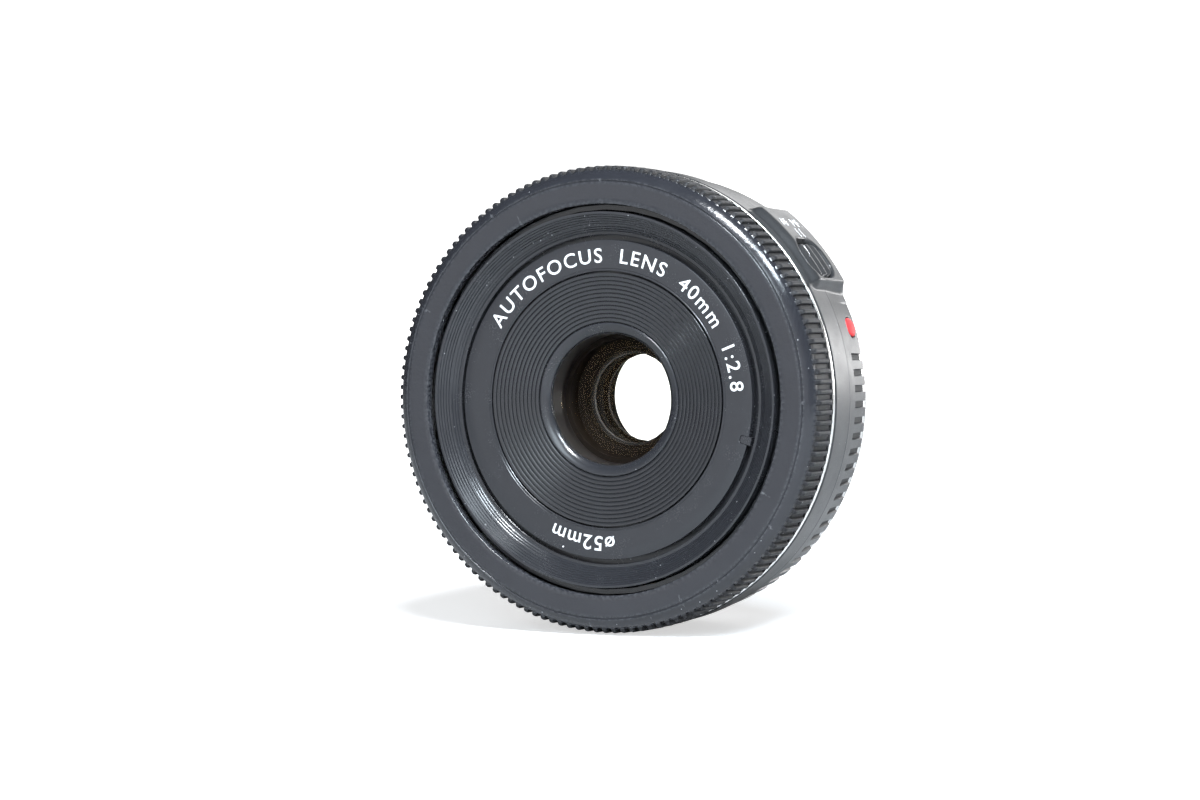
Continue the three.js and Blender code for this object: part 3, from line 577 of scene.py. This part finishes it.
def focus_ring():
    half = (0.0, 0.1, RIB_TOP, 0.2, 0.24, RIB_FOOT, 0.34, 0.42)
    columns = (-0.5, *(-share for share in reversed(half[1:])), *half)
    valley = RING_RADIUS - KNURL_DEPTH
    rise_over = [(RIB_TOP, 1.0), (0.2, 0.93), (0.24, 0.45), (RIB_FOOT, 0.0)]
    nose, scoop = 0.8, 1.2
    levels = [KNURL_FRONT + reach for reach in (0.0, 0.1, 0.22, 0.36, 0.52, 0.7, 0.9, 1.1, 1.3, 1.5)]
    levels += [3.6, 4.8, KNURL_BACK - 0.3, KNURL_BACK - 0.14, KNURL_BACK - 0.05, KNURL_BACK]
    bore = RING_RADIUS - 5.6
    skirt = 31.9
    end = back("focus_ring")

    def rise(share):
        reach = abs(share)
        if reach <= RIB_TOP:
            return 1.0 - 0.1 * (reach / RIB_TOP) ** 2
        for (x0, y0), (x1, y1) in zip(rise_over, rise_over[1:]):
            if reach <= x1:
                return lerp(y0 - 0.1, max(0.0, y1 - 0.1), (reach - x0) / (x1 - x0))
        return 0.0

    def crest(depth):
        """The rounded shoulder that the ribs run out of."""
        near = min(1.0, max(0.0, (depth - KNURL_FRONT) / nose))
        return lerp(33.42, RING_RADIUS, math.sqrt(1 - (1 - near) ** 2))

    def floor_of(depth):
        """The valley between two ribs, scooped where it begins."""
        share = min(1.0, max(0.0, (depth - KNURL_FRONT) / scoop))
        return lerp(33.34, valley, 1 - (1 - share) ** 2)

    def outline_at(column):
        tooth = math.floor(column + 0.5)
        share = column - tooth
        pitch = 360 / TEETH
        plain = column * pitch
        outline = [(bore, plain, 1.35), (bore, plain, 0.14)]
        outline += [(bore + 0.05, plain, 0.04), (bore + 0.14, plain, 0.0)]
        outline += [(r, plain, 0.0) for r in (29.4, 30.4, 31.2, 31.66)]
        outline += [(31.72, plain, 0.03), (31.77, plain, 0.13), (31.86, plain, 0.15), (31.93, plain, 0.08)]
        outline += [(32.0, plain, 0.06), (32.2, plain, 0.16), (32.45, plain, 0.31), (32.7, plain, 0.49)]
        outline += [(32.92, plain, 0.68), (33.1, plain, 0.87), (33.27, plain, 1.08)]
        for depth in levels:
            far = min(1.0, max(0.0, (KNURL_BACK - depth) / 0.3))
            top = crest(depth) - 0.25 * (1 - math.sqrt(1 - (1 - far) ** 2))
            low = floor_of(depth)
            outline.append((lerp(low, max(low, top), rise(share)), plain, depth))
        outline.append((valley, plain, KNURL_BACK + 0.04))
        outline += [(valley - 0.1, plain, end - 0.04), (valley - 0.25, plain, end)]
        outline += [(skirt + 0.1, plain, end), (skirt, plain, end - 0.1), (skirt, plain, 1.4)]
        return outline

    angles = [tooth + share for tooth in range(TEETH) for share in columns]
    stands_for(ring("focus_ring_knurled", angles, outline_at, sharp=42), "focus_ring")


# ---- Outer barrel ----
PANEL_START = 56.5
PANEL_END = 27
PANEL_HEIGHT = 35.2
SWITCH_ANGLE = 36.4
SWITCH_MIDDLE = 13.75
SWITCH_FLOOR = 33.55
SWITCH_WINDOW = (3.5, 4.05, 2.8)  # half its width, half its length and its corners' radius
KNOB_OUTLINE = (3.2, 3.0, 2.2)
DOT_ANGLE = 18.5
DOT_DEPTH = 18.8
DOT_RADIUS = 1.42
DOT_LEVEL = 33.2
GRIP_PITCH = 4
GRIP_FRONT = 16.0
GRIP_DEPTH = 0.46
FIRST_GRIP = 14.8
LAST_GRIP = 75 - 360
RIDGE_DEPTH = 13.5
BARREL_LINE = [(7.4, 33.6), (7.5, 33.86), (7.7, 34.0), (RIDGE_DEPTH, 33.7)]
BARREL_LINE += [(20.9, 33.0), (21.1, 32.88), (21.2, 32.7)]


def barrel_plain(depth):
    """The barrel's radius without panel and grooves: its line with a fine ridge round it."""
    ridge = 0.05 * math.exp(-(((depth - RIDGE_DEPTH) / 0.13) ** 2))
    for (d0, r0), (d1, r1) in zip(BARREL_LINE, BARREL_LINE[1:]):
        if depth <= d1:
            return lerp(r0, r1, (depth - d0) / (d1 - d0)) + ridge
    return BARREL_LINE[-1][1]


def panel_height(angle, depth):
    """The radius of the switch panel's top, which slopes down at both ends and both sides."""
    along = min(smooth((PANEL_START - angle) / 4), smooth((angle - PANEL_END) / 3.2))
    front_slope = 1.3 * smooth((10.1 - depth) / 2.9) ** 0.9
    rear_slope = 0.8 * smooth((depth - 19.6) / 1.7)
    top = PANEL_HEIGHT - 0.048 * max(0, depth - 10.3) - front_slope - rear_slope
    return lerp(33.0, top, along)


def barrel_radius(angle, depth):
    plain = barrel_plain(depth)
    if PANEL_END - 2 < angle < PANEL_START + 2:
        panel = panel_height(angle, depth)
        blend = 0.5
        near = max(blend - abs(panel - plain), 0) / blend
        radius = max(panel, plain) + near * near * blend / 4
        across = PANEL_HEIGHT * math.radians(angle - SWITCH_ANGLE)
        distance = stadium(across, depth - SWITCH_MIDDLE, *SWITCH_WINDOW)
        floor = SWITCH_FLOOR / math.cos(math.radians(angle - SWITCH_ANGLE))
        lip = 0.12 * smooth((0.35 - abs(distance - 0.1)) / 0.35)
        return lerp(radius - lip, floor, smooth((0.12 - distance) / 0.3))
    if abs(angle - DOT_ANGLE) < 5:
        across = DOT_LEVEL * math.radians(angle - DOT_ANGLE)
        distance = math.hypot(across, depth - DOT_DEPTH)
        return plain - 0.3 * smooth((DOT_RADIUS + 0.24 - distance) / 0.16)
    step = (FIRST_GRIP - angle) / GRIP_PITCH
    if angle > PANEL_START:
        step = (FIRST_GRIP - angle + 360) / GRIP_PITCH
    last = round((FIRST_GRIP - LAST_GRIP) / GRIP_PITCH)
    number = round(step)
    if 0 <= number <= last:
        plain -= GRIP_DEPTH * groove(abs(step - number) * GRIP_PITCH, depth)
    return plain


def groove(aside, depth):
    """How deep a grip groove is, from 0 to 1, this many degrees beside its middle."""
    return smooth((0.92 - aside) / 0.22) * smooth((depth - GRIP_FRONT + 0.05) / 0.25)


def main_barrel():
    depths = [7.4, 7.45, 7.55, 7.7] + every(7.85, 20.9, 0.15) + [21.0, 21.1, 21.2]
    bore = 28.6
    wall = 31.6

    def outline_at(angle):
        outline = [(barrel_radius(angle, depth), angle, depth) for depth in depths]
        rear = depths[-1]
        outline += [(32.5, angle, rear), (bore, angle, rear)]
        outline += [(bore, angle, rear - 0.8), (wall, angle, rear - 0.8)]
        return outline + [(wall + 0.5, angle, 7.4)]

    angles = set(every(PANEL_START + 2.5, PANEL_END - 2.5, 0.24))
    angles.update(every(24.4, 13.2, 0.24) + every(60, 75, 1.5))
    middle = FIRST_GRIP - GRIP_PITCH
    while middle > LAST_GRIP:
        angles.update(middle + aside for aside in (-2, -1.3, -0.92, -0.84, -0.7, 0, 0.7, 0.84, 0.92, 1.3))
        middle -= GRIP_PITCH
    ordered = sorted(((angle + 285) % 360) - 285 for angle in angles)
    kept = [ordered[0]]
    for angle in ordered[1:]:
        if angle - kept[-1] > 0.03:
            kept.append(angle)
    shell = ring("barrel_shell", kept, outline_at, sharp=40)
    # The grime attribute marks the floors of the grip grooves, where barrel_black paints shade.
    painted_groove_shade = shell.data.attributes.new("painted_groove_shade", "FLOAT", "POINT")
    for vertex, mark in zip(shell.data.vertices, painted_groove_shade.data):
        offset = (vertex.co - CENTRE) / MM
        depth, radius = offset.y, math.hypot(offset.x, offset.z)
        grooved = depth > GRIP_FRONT and radius > 32
        mark.value = smooth((barrel_plain(depth) - radius - 0.2) / 0.15) if grooved else 0.0
    stands_for(shell, "main_barrel")


def trim_ring():
    inner, rim = 32.3, outer("trim_ring")
    start, end = front("trim_ring"), back("trim_ring")
    outline = eased([(inner, start), (rim, start), (rim, end), (inner, end)], 0.16, 4)
    stands_for(turned("trim_ring_polished", outline, 288, sharp=60), "trim_ring")


def switch_knob():
    middle = (front("switch_knob") + back("switch_knob")) / 2
    spot = Spot(SWITCH_FLOOR, SWITCH_ANGLE, middle)
    ridges = [-1.15, 0.75, 2.7]

    def top(x, y, share):
        """Saw-toothed steps that climb towards the rear."""
        below = max([-3.0] + [ridge for ridge in ridges if ridge <= y])
        above = min([ridge for ridge in ridges if ridge > y] + [3.1])
        climb = (y - below) / (above - below)
        tooth = min(1.0, climb / 0.76, (1 - climb) / 0.07)
        height = 0.62 - 0.012 * x * x + 0.46 * tooth * smooth((3.1 - abs(x)) / 0.5)
        edge = stadium(x, y, *KNOB_OUTLINE)
        return height - 0.3 * smooth((edge + 0.3) / 0.3) ** 2

    edge = stadium_edge(*KNOB_OUTLINE)
    knob = raised("switch_knob_ribbed", spot, edge, top, 0.12, rings=44, spokes=120, sharp=50)
    stands_for(knob, "switch_knob")
    line = [spot.at(x, y, 0.6) for x, y in ((0.9, -0.9), (2.5, -0.9), (2.5, -0.62), (0.9, -0.62))]
    lid = [spot.at(x, y, 0.9) for x, y in ((0.92, -0.88), (2.48, -0.88), (2.48, -0.64), (0.92, -0.64))]
    marking(skinned("switch_index_line", [line, lid], closed=False), "mode_switch")


def index_dot():
    spot = Spot(DOT_LEVEL, DOT_ANGLE, DOT_DEPTH)
    dome = raised(
        "index_dot_dome", spot, lambda angle: DOT_RADIUS,
        lambda x, y, share: -0.02 + 0.4 * math.sqrt(max(0.0, 1.001 - share * share)) ** 1.2,
        -0.28, rings=14, spokes=56, sharp=50,
    )
    stands_for(dome, "index_dot")


def panel_labels():
    foot = 46.2
    level = PANEL_HEIGHT - 0.16

    def lay(middle, lift):
        def at(x, y, z):
            depth = middle + x
            angle = foot + math.degrees(y / level)
            return place(panel_height(angle, depth) + z - lift, angle, depth)

        return at

    marking(lettering("label_auto", "AF", 1.55, lay(12.3, 0.02), weight=-0.022), "barrel")
    marking(lettering("label_manual", "MF", 1.55, lay(16.6, 0.02), weight=-0.022), "barrel")
    for number, depth in enumerate((14.1, 15.7)):
        corners = [(42.6, depth - 0.1), (45.4, depth - 0.1), (45.4, depth + 0.1), (42.6, depth + 0.1)]
        foot_points = [place(panel_height(a, d) - 0.03, a, d) for a, d in corners]
        top_points = [place(panel_height(a, d) + 0.04, a, d) for a, d in corners]
        tick = skinned(f"label_tick_{number + 1}", [foot_points, top_points], closed=False)
        marking(tick, "barrel")


# ---- The sliding front ----
def inner_barrel():
    rim = outer("inner_barrel")
    start, end = front("inner_barrel"), back("inner_barrel")
    thread = []
    steps, narrowing, deepening = 8, 0.32, 0.25
    for k in range(steps):
        edge, depth = 27.02 - narrowing * k, start + 0.04 + deepening * k
        slope = 0.07 if k < 5 else 0.16
        thread += [(edge, depth), (edge - 0.05, depth + 0.03), (edge - 0.05 - slope, depth + 0.18)]
        thread += [(edge - 0.25, depth + 0.27), (edge - 0.3, depth + 0.29)]
    lead = eased([(rim, end), (rim, start), (27.08, start), (27.02, start + 0.04)], 0.06, 3)[:-4]
    inside = [(24.4, 2.36), (24.1, 2.38), (24.0, 2.46), (24.0, 3.5)]
    inside += [(14.0, 3.5), (14.0, 4.5), (26.2, 4.5), (26.2, end)]
    stands_for(turned("inner_barrel_threaded", lead + thread + inside, 288, sharp=25), "inner_barrel")


NOTCH_ANGLE = -14
NOTCH_HALF = 1.55
NOTCH_DEPTH = 1.3


def notch_reach(away, half):
    """How far in a round-ended notch reaches, from 0 to 1, this many degrees from its middle."""
    return max(0.0, 1 - (away / half) ** 4) ** 0.25 if away < half else 0.0


def name_ring():
    inner, rim = 18.75, outer("name_ring")
    start, end = front("name_ring"), back("name_ring")

    def outline_at(angle):
        away = abs((angle - NOTCH_ANGLE + 180) % 360 - 180)
        edge = rim - NOTCH_DEPTH * notch_reach(away, NOTCH_HALF)
        corners = [(inner, start + 0.06), (inner + 0.06, start), (18.95, start)]
        corners += [(19.0, start + 0.05), (19.12, start + 0.05), (19.17, start)]
        corners += [(20.5, start), (21.6, start), (edge - 0.1, start), (edge - 0.03, start + 0.03)]
        corners += [(edge, start + 0.1), (edge, end), (inner, end)]
        return [(r, angle, depth) for r, depth in corners]

    angles = every(NOTCH_ANGLE + 2, NOTCH_ANGLE + 358, 1.5)[:-1]
    angles += every(NOTCH_ANGLE - 2, NOTCH_ANGLE + 2, 0.05)[:-1]
    stands_for(ring("name_ring_face", angles, outline_at), "name_ring")
    tab = []
    tab_half = NOTCH_HALF - 0.12
    for angle in every(NOTCH_ANGLE - NOTCH_HALF + 0.12, NOTCH_ANGLE + NOTCH_HALF - 0.12, 0.1):
        reach = NOTCH_DEPTH * notch_reach(abs(angle - NOTCH_ANGLE), tab_half) - 0.07
        inside = rim - max(0.05, reach)
        corners = [(inside, end), (inside, start + 0.05), (inside + 0.04, start + 0.01)]
        corners += [(rim + 0.5, start), (rim + 0.5, end)]
        tab.append([place(r, angle, depth) for r, depth in corners])
    marking(skinned("name_ring_key", tab, closed=False), "optical_unit", "barrel_black")

    def round_axis(middle, foot):
        def at(x, y, z):
            return place(foot + y, middle - math.degrees(x / (foot + 1)), start - z + 0.02)

        return at

    foot = 20.0
    line = "AUTOFOCUS  LENS  40mm  1:2.8"
    words = lettering("marking_top", line, 2.05, round_axis(76.6, foot), weight=0.014, spacing=1.2, fit=53.2)
    marking(words, "optical_unit")
    lay = round_axis(-100.2, foot)
    size = lettering("marking_size", "ø52mm", 2.1, lay, weight=0.018, spacing=1.12, fit=10.4)
    marking(size, "optical_unit")
    spot = Spot(22.7, -107.75, start, out=False)
    dot = raised("marking_dot", spot, lambda angle: 0.13, lambda x, y, share: -0.03, 0.02, rings=3, spokes=16)
    marking(dot, "optical_unit")


def ridged_baffle():
    ridges = 12
    rim, bore = outer("ridged_baffle"), 11.3
    start = front("ridged_baffle")
    width = (rim - bore) / ridges
    outline = [(rim, 3.2)]
    for k in range(ridges):
        radius = rim - width * k
        depth = start + 0.9 * k / ridges
        lands = [(0.0, 0.03), (0.04, 0.005), (0.1, 0.0), (0.72, 0.055), (0.78, 0.075)]
        lands += [(0.82, 0.12), (0.85, 0.17), (0.89, 0.2), (0.94, 0.2), (0.97, 0.17)]
        outline += [(radius - width * across, depth + drop) for across, drop in lands]
    outline += [(bore, 2.85), (bore, 3.2)]
    stands_for(turned("ridged_baffle_fine", outline, 288, sharp=30), "ridged_baffle")


def front_retainer():
    bore, rim = 9.7, 11.1
    face = [(bore, 3.7), (bore + 0.01, 3.58), (bore + 0.05, 3.46), (9.87, 3.33), (10.05, 3.18)]
    face += [(10.25, 3.04), (10.5, 2.91), (10.75, 2.81), (10.95, 2.75), (rim - 0.05, 2.73)]
    face += [(rim + 0.03, 2.76), (rim + 0.12, 2.84), (rim + 0.14, 2.92), (rim + 0.14, 3.7)]
    stands_for(turned("front_retainer_bevel", face, 240, sharp=40), "front_retainer")


# ---- Inside the optical unit ----
def sag(curve, radius):
    """How far a lens surface of this curvature radius lies behind its vertex."""
    return radius**2 / (curve + math.copysign(math.sqrt(curve**2 - radius**2), curve))


def lens(name, node, vertex_front, vertex_back, front_curve, back_curve, radius):
    steps = 18
    radii = [radius * k / steps for k in range(steps + 1)]
    outline = [(r, vertex_front + sag(front_curve, r)) for r in radii]
    outline += [(r, vertex_back + sag(back_curve, r)) for r in reversed(radii)]
    stands_for(turned(name, outline, 96, sharp=50), node)


def optics():
    lens("glass_1", "lens_1", 4.1, 6.4, 22, 60, 9.4)
    lens("glass_2", "lens_2", 6.7, 8.9, 24, -400, 8.6)
    lens("glass_3", "lens_3", 9.05, 9.6, -400, 40, 8.6)
    lens("glass_4", "lens_4", 17.6, 18.2, -60, 40, 8.2)
    lens("glass_5", "lens_5", 18.35, 20.45, 40, -40, 8.2)
    lens("glass_6", "lens_6", 20.95, 21.75, -60, -60, 8.8)


def cells():
    cell = [(9.6, 3.9), (13.6, 3.9), (13.6, 11.0), (7.55, 11.0), (7.6, 10.6), (7.9, 10.5)]
    cell += [(8.8, 10.5), (8.8, 7.9), (9.6, 7.9)]
    stands_for(turned("front_cell_bore", eased(cell, 0.06, 2), 160), "front_cell")
    tail = [(7.4, 16.8), (12.6, 16.8), (12.6, 21.5), (9.0, 21.5), (9.0, 20.15)]
    tail += [(8.4, 20.15), (8.4, 17.1), (7.45, 17.02)]
    stands_for(turned("rear_cell_bore", eased(tail, 0.06, 2), 160), "rear_cell")
    keeper = [(8.0, 21.62), (10.5, 21.6), (10.5, 22.1), (8.45, 22.1)]
    stands_for(turned("rear_retainer_bevel", eased(keeper, 0.08), 160), "rear_retainer")
    cover = [(7.0, 11.22), (13.4, 11.2), (13.4, 11.5), (7.0, 11.5)]
    stands_for(turned("iris_cover_plate", eased(cover, 0.06), 160), "iris_cover")


# ---- Rear ----
SEAT = 22.8  # depth of the face that lies on the camera's mount
SCREW_CIRCLE = 29.9
SCREWS = [45, 135, 225, 315]
LOCK_PIN = (29.6, 12)  # radius and angle of the hole for it
LUGS = [(62, 118), (180, 234), (300, 354)]  # the angles where each lug starts and ends


def bayonet_mount():
    tube, bore, lug = 25.4, 24.2, 27.0
    end = back("bayonet_mount")
    rim = outer("bayonet_mount")
    holes = [(SCREW_CIRCLE, angle, 1.8) for angle in SCREWS] + [(*LOCK_PIN, 1.1)]
    seat_rows = every(rim - 0.12, 27.55, 0.14)

    def seat_depth(radius, angle):
        drop = 0.0
        for circle, at, size in holes:
            turn = math.radians((angle - at + 180) % 360 - 180)
            if abs(turn) < 0.1:
                distance = math.hypot(radius * math.cos(turn) - circle, radius * math.sin(turn))
                drop = max(drop, 0.9 * smooth((size - distance) / 0.14))
        return SEAT - drop

    def lug_share(angle):
        best = 0.0
        for first, last in LUGS:
            middle, half = (first + last) / 2, (last - first) / 2
            away = abs((angle - middle + 180) % 360 - 180)
            best = max(best, smooth((half - away) / 0.7))
        return best

    def outline_at(angle):
        step = tube + (lug - tube) * lug_share(angle)
        pairs = [(bore, 21.5), (bore + 0.1, 21.4), (rim - 0.1, 21.4), (rim, 21.5)]
        pairs += [(rim, SEAT - 0.1), (rim - 0.03, SEAT - 0.03)]
        pairs += [(radius, seat_depth(radius, angle)) for radius in seat_rows]
        pairs += [(27.45, SEAT - 0.04), (27.4, SEAT - 0.18), (27.3, SEAT - 0.2), (25.9, SEAT - 0.2)]
        pairs += [(tube + 0.05, SEAT - 0.17), (tube, SEAT - 0.1), (tube, SEAT + 1.36)]
        pairs += [(lerp(tube, step, 0.93), SEAT + 1.4), (step, SEAT + 1.5), (step, SEAT + 2.6)]
        pairs += [(lerp(tube, step, 0.8), SEAT + 2.88), (lerp(tube, step, 0.3), SEAT + 2.9)]
        pairs += [(tube, SEAT + 2.96), (tube, end - 0.25), (tube - 0.1, end - 0.06), (tube - 0.25, end)]
        pairs += [(bore + 0.15, end), (bore, end - 0.15)]
        pairs += [(bore, 26.0), (bore + 0.06, 25.9), (bore + 0.06, 25.6), (bore, 25.5), (bore, 23.4)]
        return [(radius, angle, depth) for radius, depth in pairs]

    angles = set()
    for at in SCREWS + [LOCK_PIN[1]]:
        angles.update(round(angle, 3) for angle in every(at - 4, at + 4, 0.22))
    for edges in LUGS:
        for edge in edges:
            angles.update(round(edge + aside, 3) for aside in (-0.8, -0.6, -0.4, -0.2, 0, 0.2, 0.4, 0.8))
    crowded = sorted(angles)
    for angle in every(0, 360, 1.2)[:-1]:
        if all(abs(angle - other) > 0.5 for other in crowded):
            angles.add(angle)
    stands_for(ring("bayonet_turned", sorted(angles), outline_at, sharp=30), "bayonet_mount")


def mount_screws():
    def cross(x, y):
        arm = min(max(abs(x) - 0.2, abs(y) - 0.86), max(abs(y) - 0.2, abs(x) - 0.86))
        return smooth((0.06 - arm) / 0.14)

    def head(x, y, share):
        return 0.58 - 0.34 * cross(x, y) - 0.2 * smooth((share - 0.8) / 0.2) ** 2

    for number, angle in enumerate(SCREWS):
        spot = Spot(SCREW_CIRCLE, angle, SEAT - 0.7, out=False)
        name = f"mount_screw_head_{number + 1}"
        screw = raised(name, spot, lambda turn: 1.55, head, -1.0, rings=30, spokes=72, sharp=40)
        stands_for(screw, f"mount_screw_{number + 1}")


CONTACT_ANGLES = [-90 + aside for aside in (-23, -14.5, -5.5, 2, 8.5, 15, 21.5)]
CONTACT_CIRCLE = 21.5


def contact_size(number):
    """A contact's radius; the second one is larger."""
    return 1.05 if number == 1 else 0.75


def contact_block():
    start, end = 24.6, 27.7
    inner, rim = 19.4, 23.6
    first, last = -120, -60
    rows = every(inner + 0.25, rim - 0.25, 0.12)

    def socket_drop(radius, angle):
        drop = 0.0
        for number, at in enumerate(CONTACT_ANGLES):
            turn = math.radians(angle - at)
            if abs(turn) < 0.1:
                distance = math.hypot(radius * math.cos(turn) - CONTACT_CIRCLE, radius * math.sin(turn))
                drop = max(drop, 0.5 * smooth((contact_size(number) + 0.18 - distance) / 0.12))
        return drop

    def outline_at(angle, inset=0.0):
        pairs = [(inner + 0.1 + inset, end - 0.03 - inset), *[(r, end - socket_drop(r, angle)) for r in rows]]
        pairs += [(rim - 0.1 - inset, end - 0.03 - inset), (rim - inset, end - 0.16 - inset)]
        pairs.append((rim - inset, start + inset))
        pairs += [(inner + inset, start + inset), (inner + inset, end - 0.16 - inset)]
        pairs = [(r, min(depth, end - inset)) for r, depth in pairs]
        return [place(r, angle, depth) for r, depth in pairs]

    stations = [outline_at(first, 0.15), outline_at(first + 0.15, 0.04)]
    stations += [outline_at(angle) for angle in every(first + 0.4, last - 0.4, 0.3)]
    stations += [outline_at(last - 0.15, 0.04), outline_at(last, 0.15)]
    stands_for(skinned("contact_block_moulded", stations, closed=False), "contact_block")


def contacts():
    for number, angle in enumerate(CONTACT_ANGLES):
        size = contact_size(number)
        spot = Spot(CONTACT_CIRCLE, angle, 26.2, out=False)
        pin = raised(
            f"contact_pin_{number + 1}", spot, lambda turn, size=size: size,
            lambda x, y, share: 1.75 - 0.3 * share**4, 0.0, rings=8, spokes=40, sharp=40,
        )
        stands_for(pin, f"contact_{number + 1}")


def rear_cover():
    rim = outer("rear_cover")

    def outline_at(angle):
        away = abs((angle + 90 + 180) % 360 - 180)
        edge = lerp(18.95, rim, smooth((away - 32.7) / 0.6))
        funnel = []
        steps = 9
        for k in range(steps):
            share = k / steps
            radius, depth = lerp(15.3, 13.5, share), lerp(26.5, 21.9, share)
            funnel += [(radius, depth), (radius - 0.02, depth - 0.3), (radius - 0.16, depth - 0.42)]
        pairs = [(15.3, 26.8), (15.45, 26.9), (16.4, 26.9), (16.5, 26.8), (17.6, 26.8)]
        pairs += [(17.7, 26.9), (edge - 0.12, 26.9), (edge, 26.78), (edge, 26.1)]
        pairs += [(15.9, 26.1), (14.1, 21.8), (13.4, 21.8)]
        pairs += list(reversed(funnel))
        return [(radius, angle, depth) for radius, depth in pairs]

    angles = set(every(0, 360, 2)[:-1])
    for notch in (-122.7 + 360, -57.3 + 360):
        angles.update(round(notch + aside, 2) for aside in (-0.7, -0.5, -0.3, -0.15, 0.15, 0.3, 0.5, 0.7))
    stands_for(ring("rear_cover_moulded", sorted(angles), outline_at, sharp=28), "rear_cover")


# ---- The floor that the lens leans back on ----
def floor():
    toe = RING_RADIUS
    heel_depth, heel_radius = 13.5, 33.72
    lean = math.atan2(toe - heel_radius, heel_depth - KNURL_BACK)
    size, sides = 3.0, 48
    gap = 0.02
    down = Vector((0, math.sin(lean), -math.cos(lean)))
    along = Vector((0, math.cos(lean), math.sin(lean)))
    contact = place(toe, -90, KNURL_BACK) + down * gap * MM
    points = []
    for reach in (0.15, 0.6, size):
        for i in range(sides):
            angle = 2 * math.pi * i / sides
            aside = Vector((1, 0, 0)) * reach * math.cos(angle)
            points.append(contact + aside + along * reach * math.sin(angle))
    faces = [tuple(range(sides))]
    for ring_number in range(2):
        for i in range(sides):
            a, b = ring_number * sides + i, ring_number * sides + (i + 1) % sides
            faces.append((a, b, b + sides, a + sides))
    table = build("stage_floor", points, faces)
    f = Finish("pale_table")
    blotches = f.noise(60.0)
    tone = f.mix(blotches, (0.55, 0.553, 0.558, 1), (0.57, 0.57, 0.573, 1))
    # Painted light: for camera rays the floor glows, from 0.6 near the lens to 1.6 farther out, which
    # lightens the shadows on it and whitens it with distance.
    away = f.add("ShaderNodeVectorMath", {0: f.position()}, output="Value", operation="LENGTH")
    seen = f.add("ShaderNodeLightPath", {}, output="Is Camera Ray")
    painted_floor_glow = f.maths("MULTIPLY", f.spread(away, 0.08, 0.45, 0.6, 1.6), seen)
    f.set(Base_Color=tone, Roughness=0.55, Normal=f.relief(f.noise(1.5), 0.003))
    table.data.materials.append(f.set(Emission_Color=(1, 1, 1, 1), Emission_Strength=painted_floor_glow))


camera()
lights()
MATERIALS = materials()
floor()
focus_ring()
main_barrel()
trim_ring()
switch_knob()
index_dot()
panel_labels()
inner_barrel()
name_ring()
ridged_baffle()
front_retainer()
optics()
cells()
bayonet_mount()
mount_screws()
contact_block()
contacts()
rear_cover()
for node_name, node in frame["nodes"].items():
    node.data.materials.clear()
    node.data.materials.append(MATERIALS[SLOT_OF[node_name]])
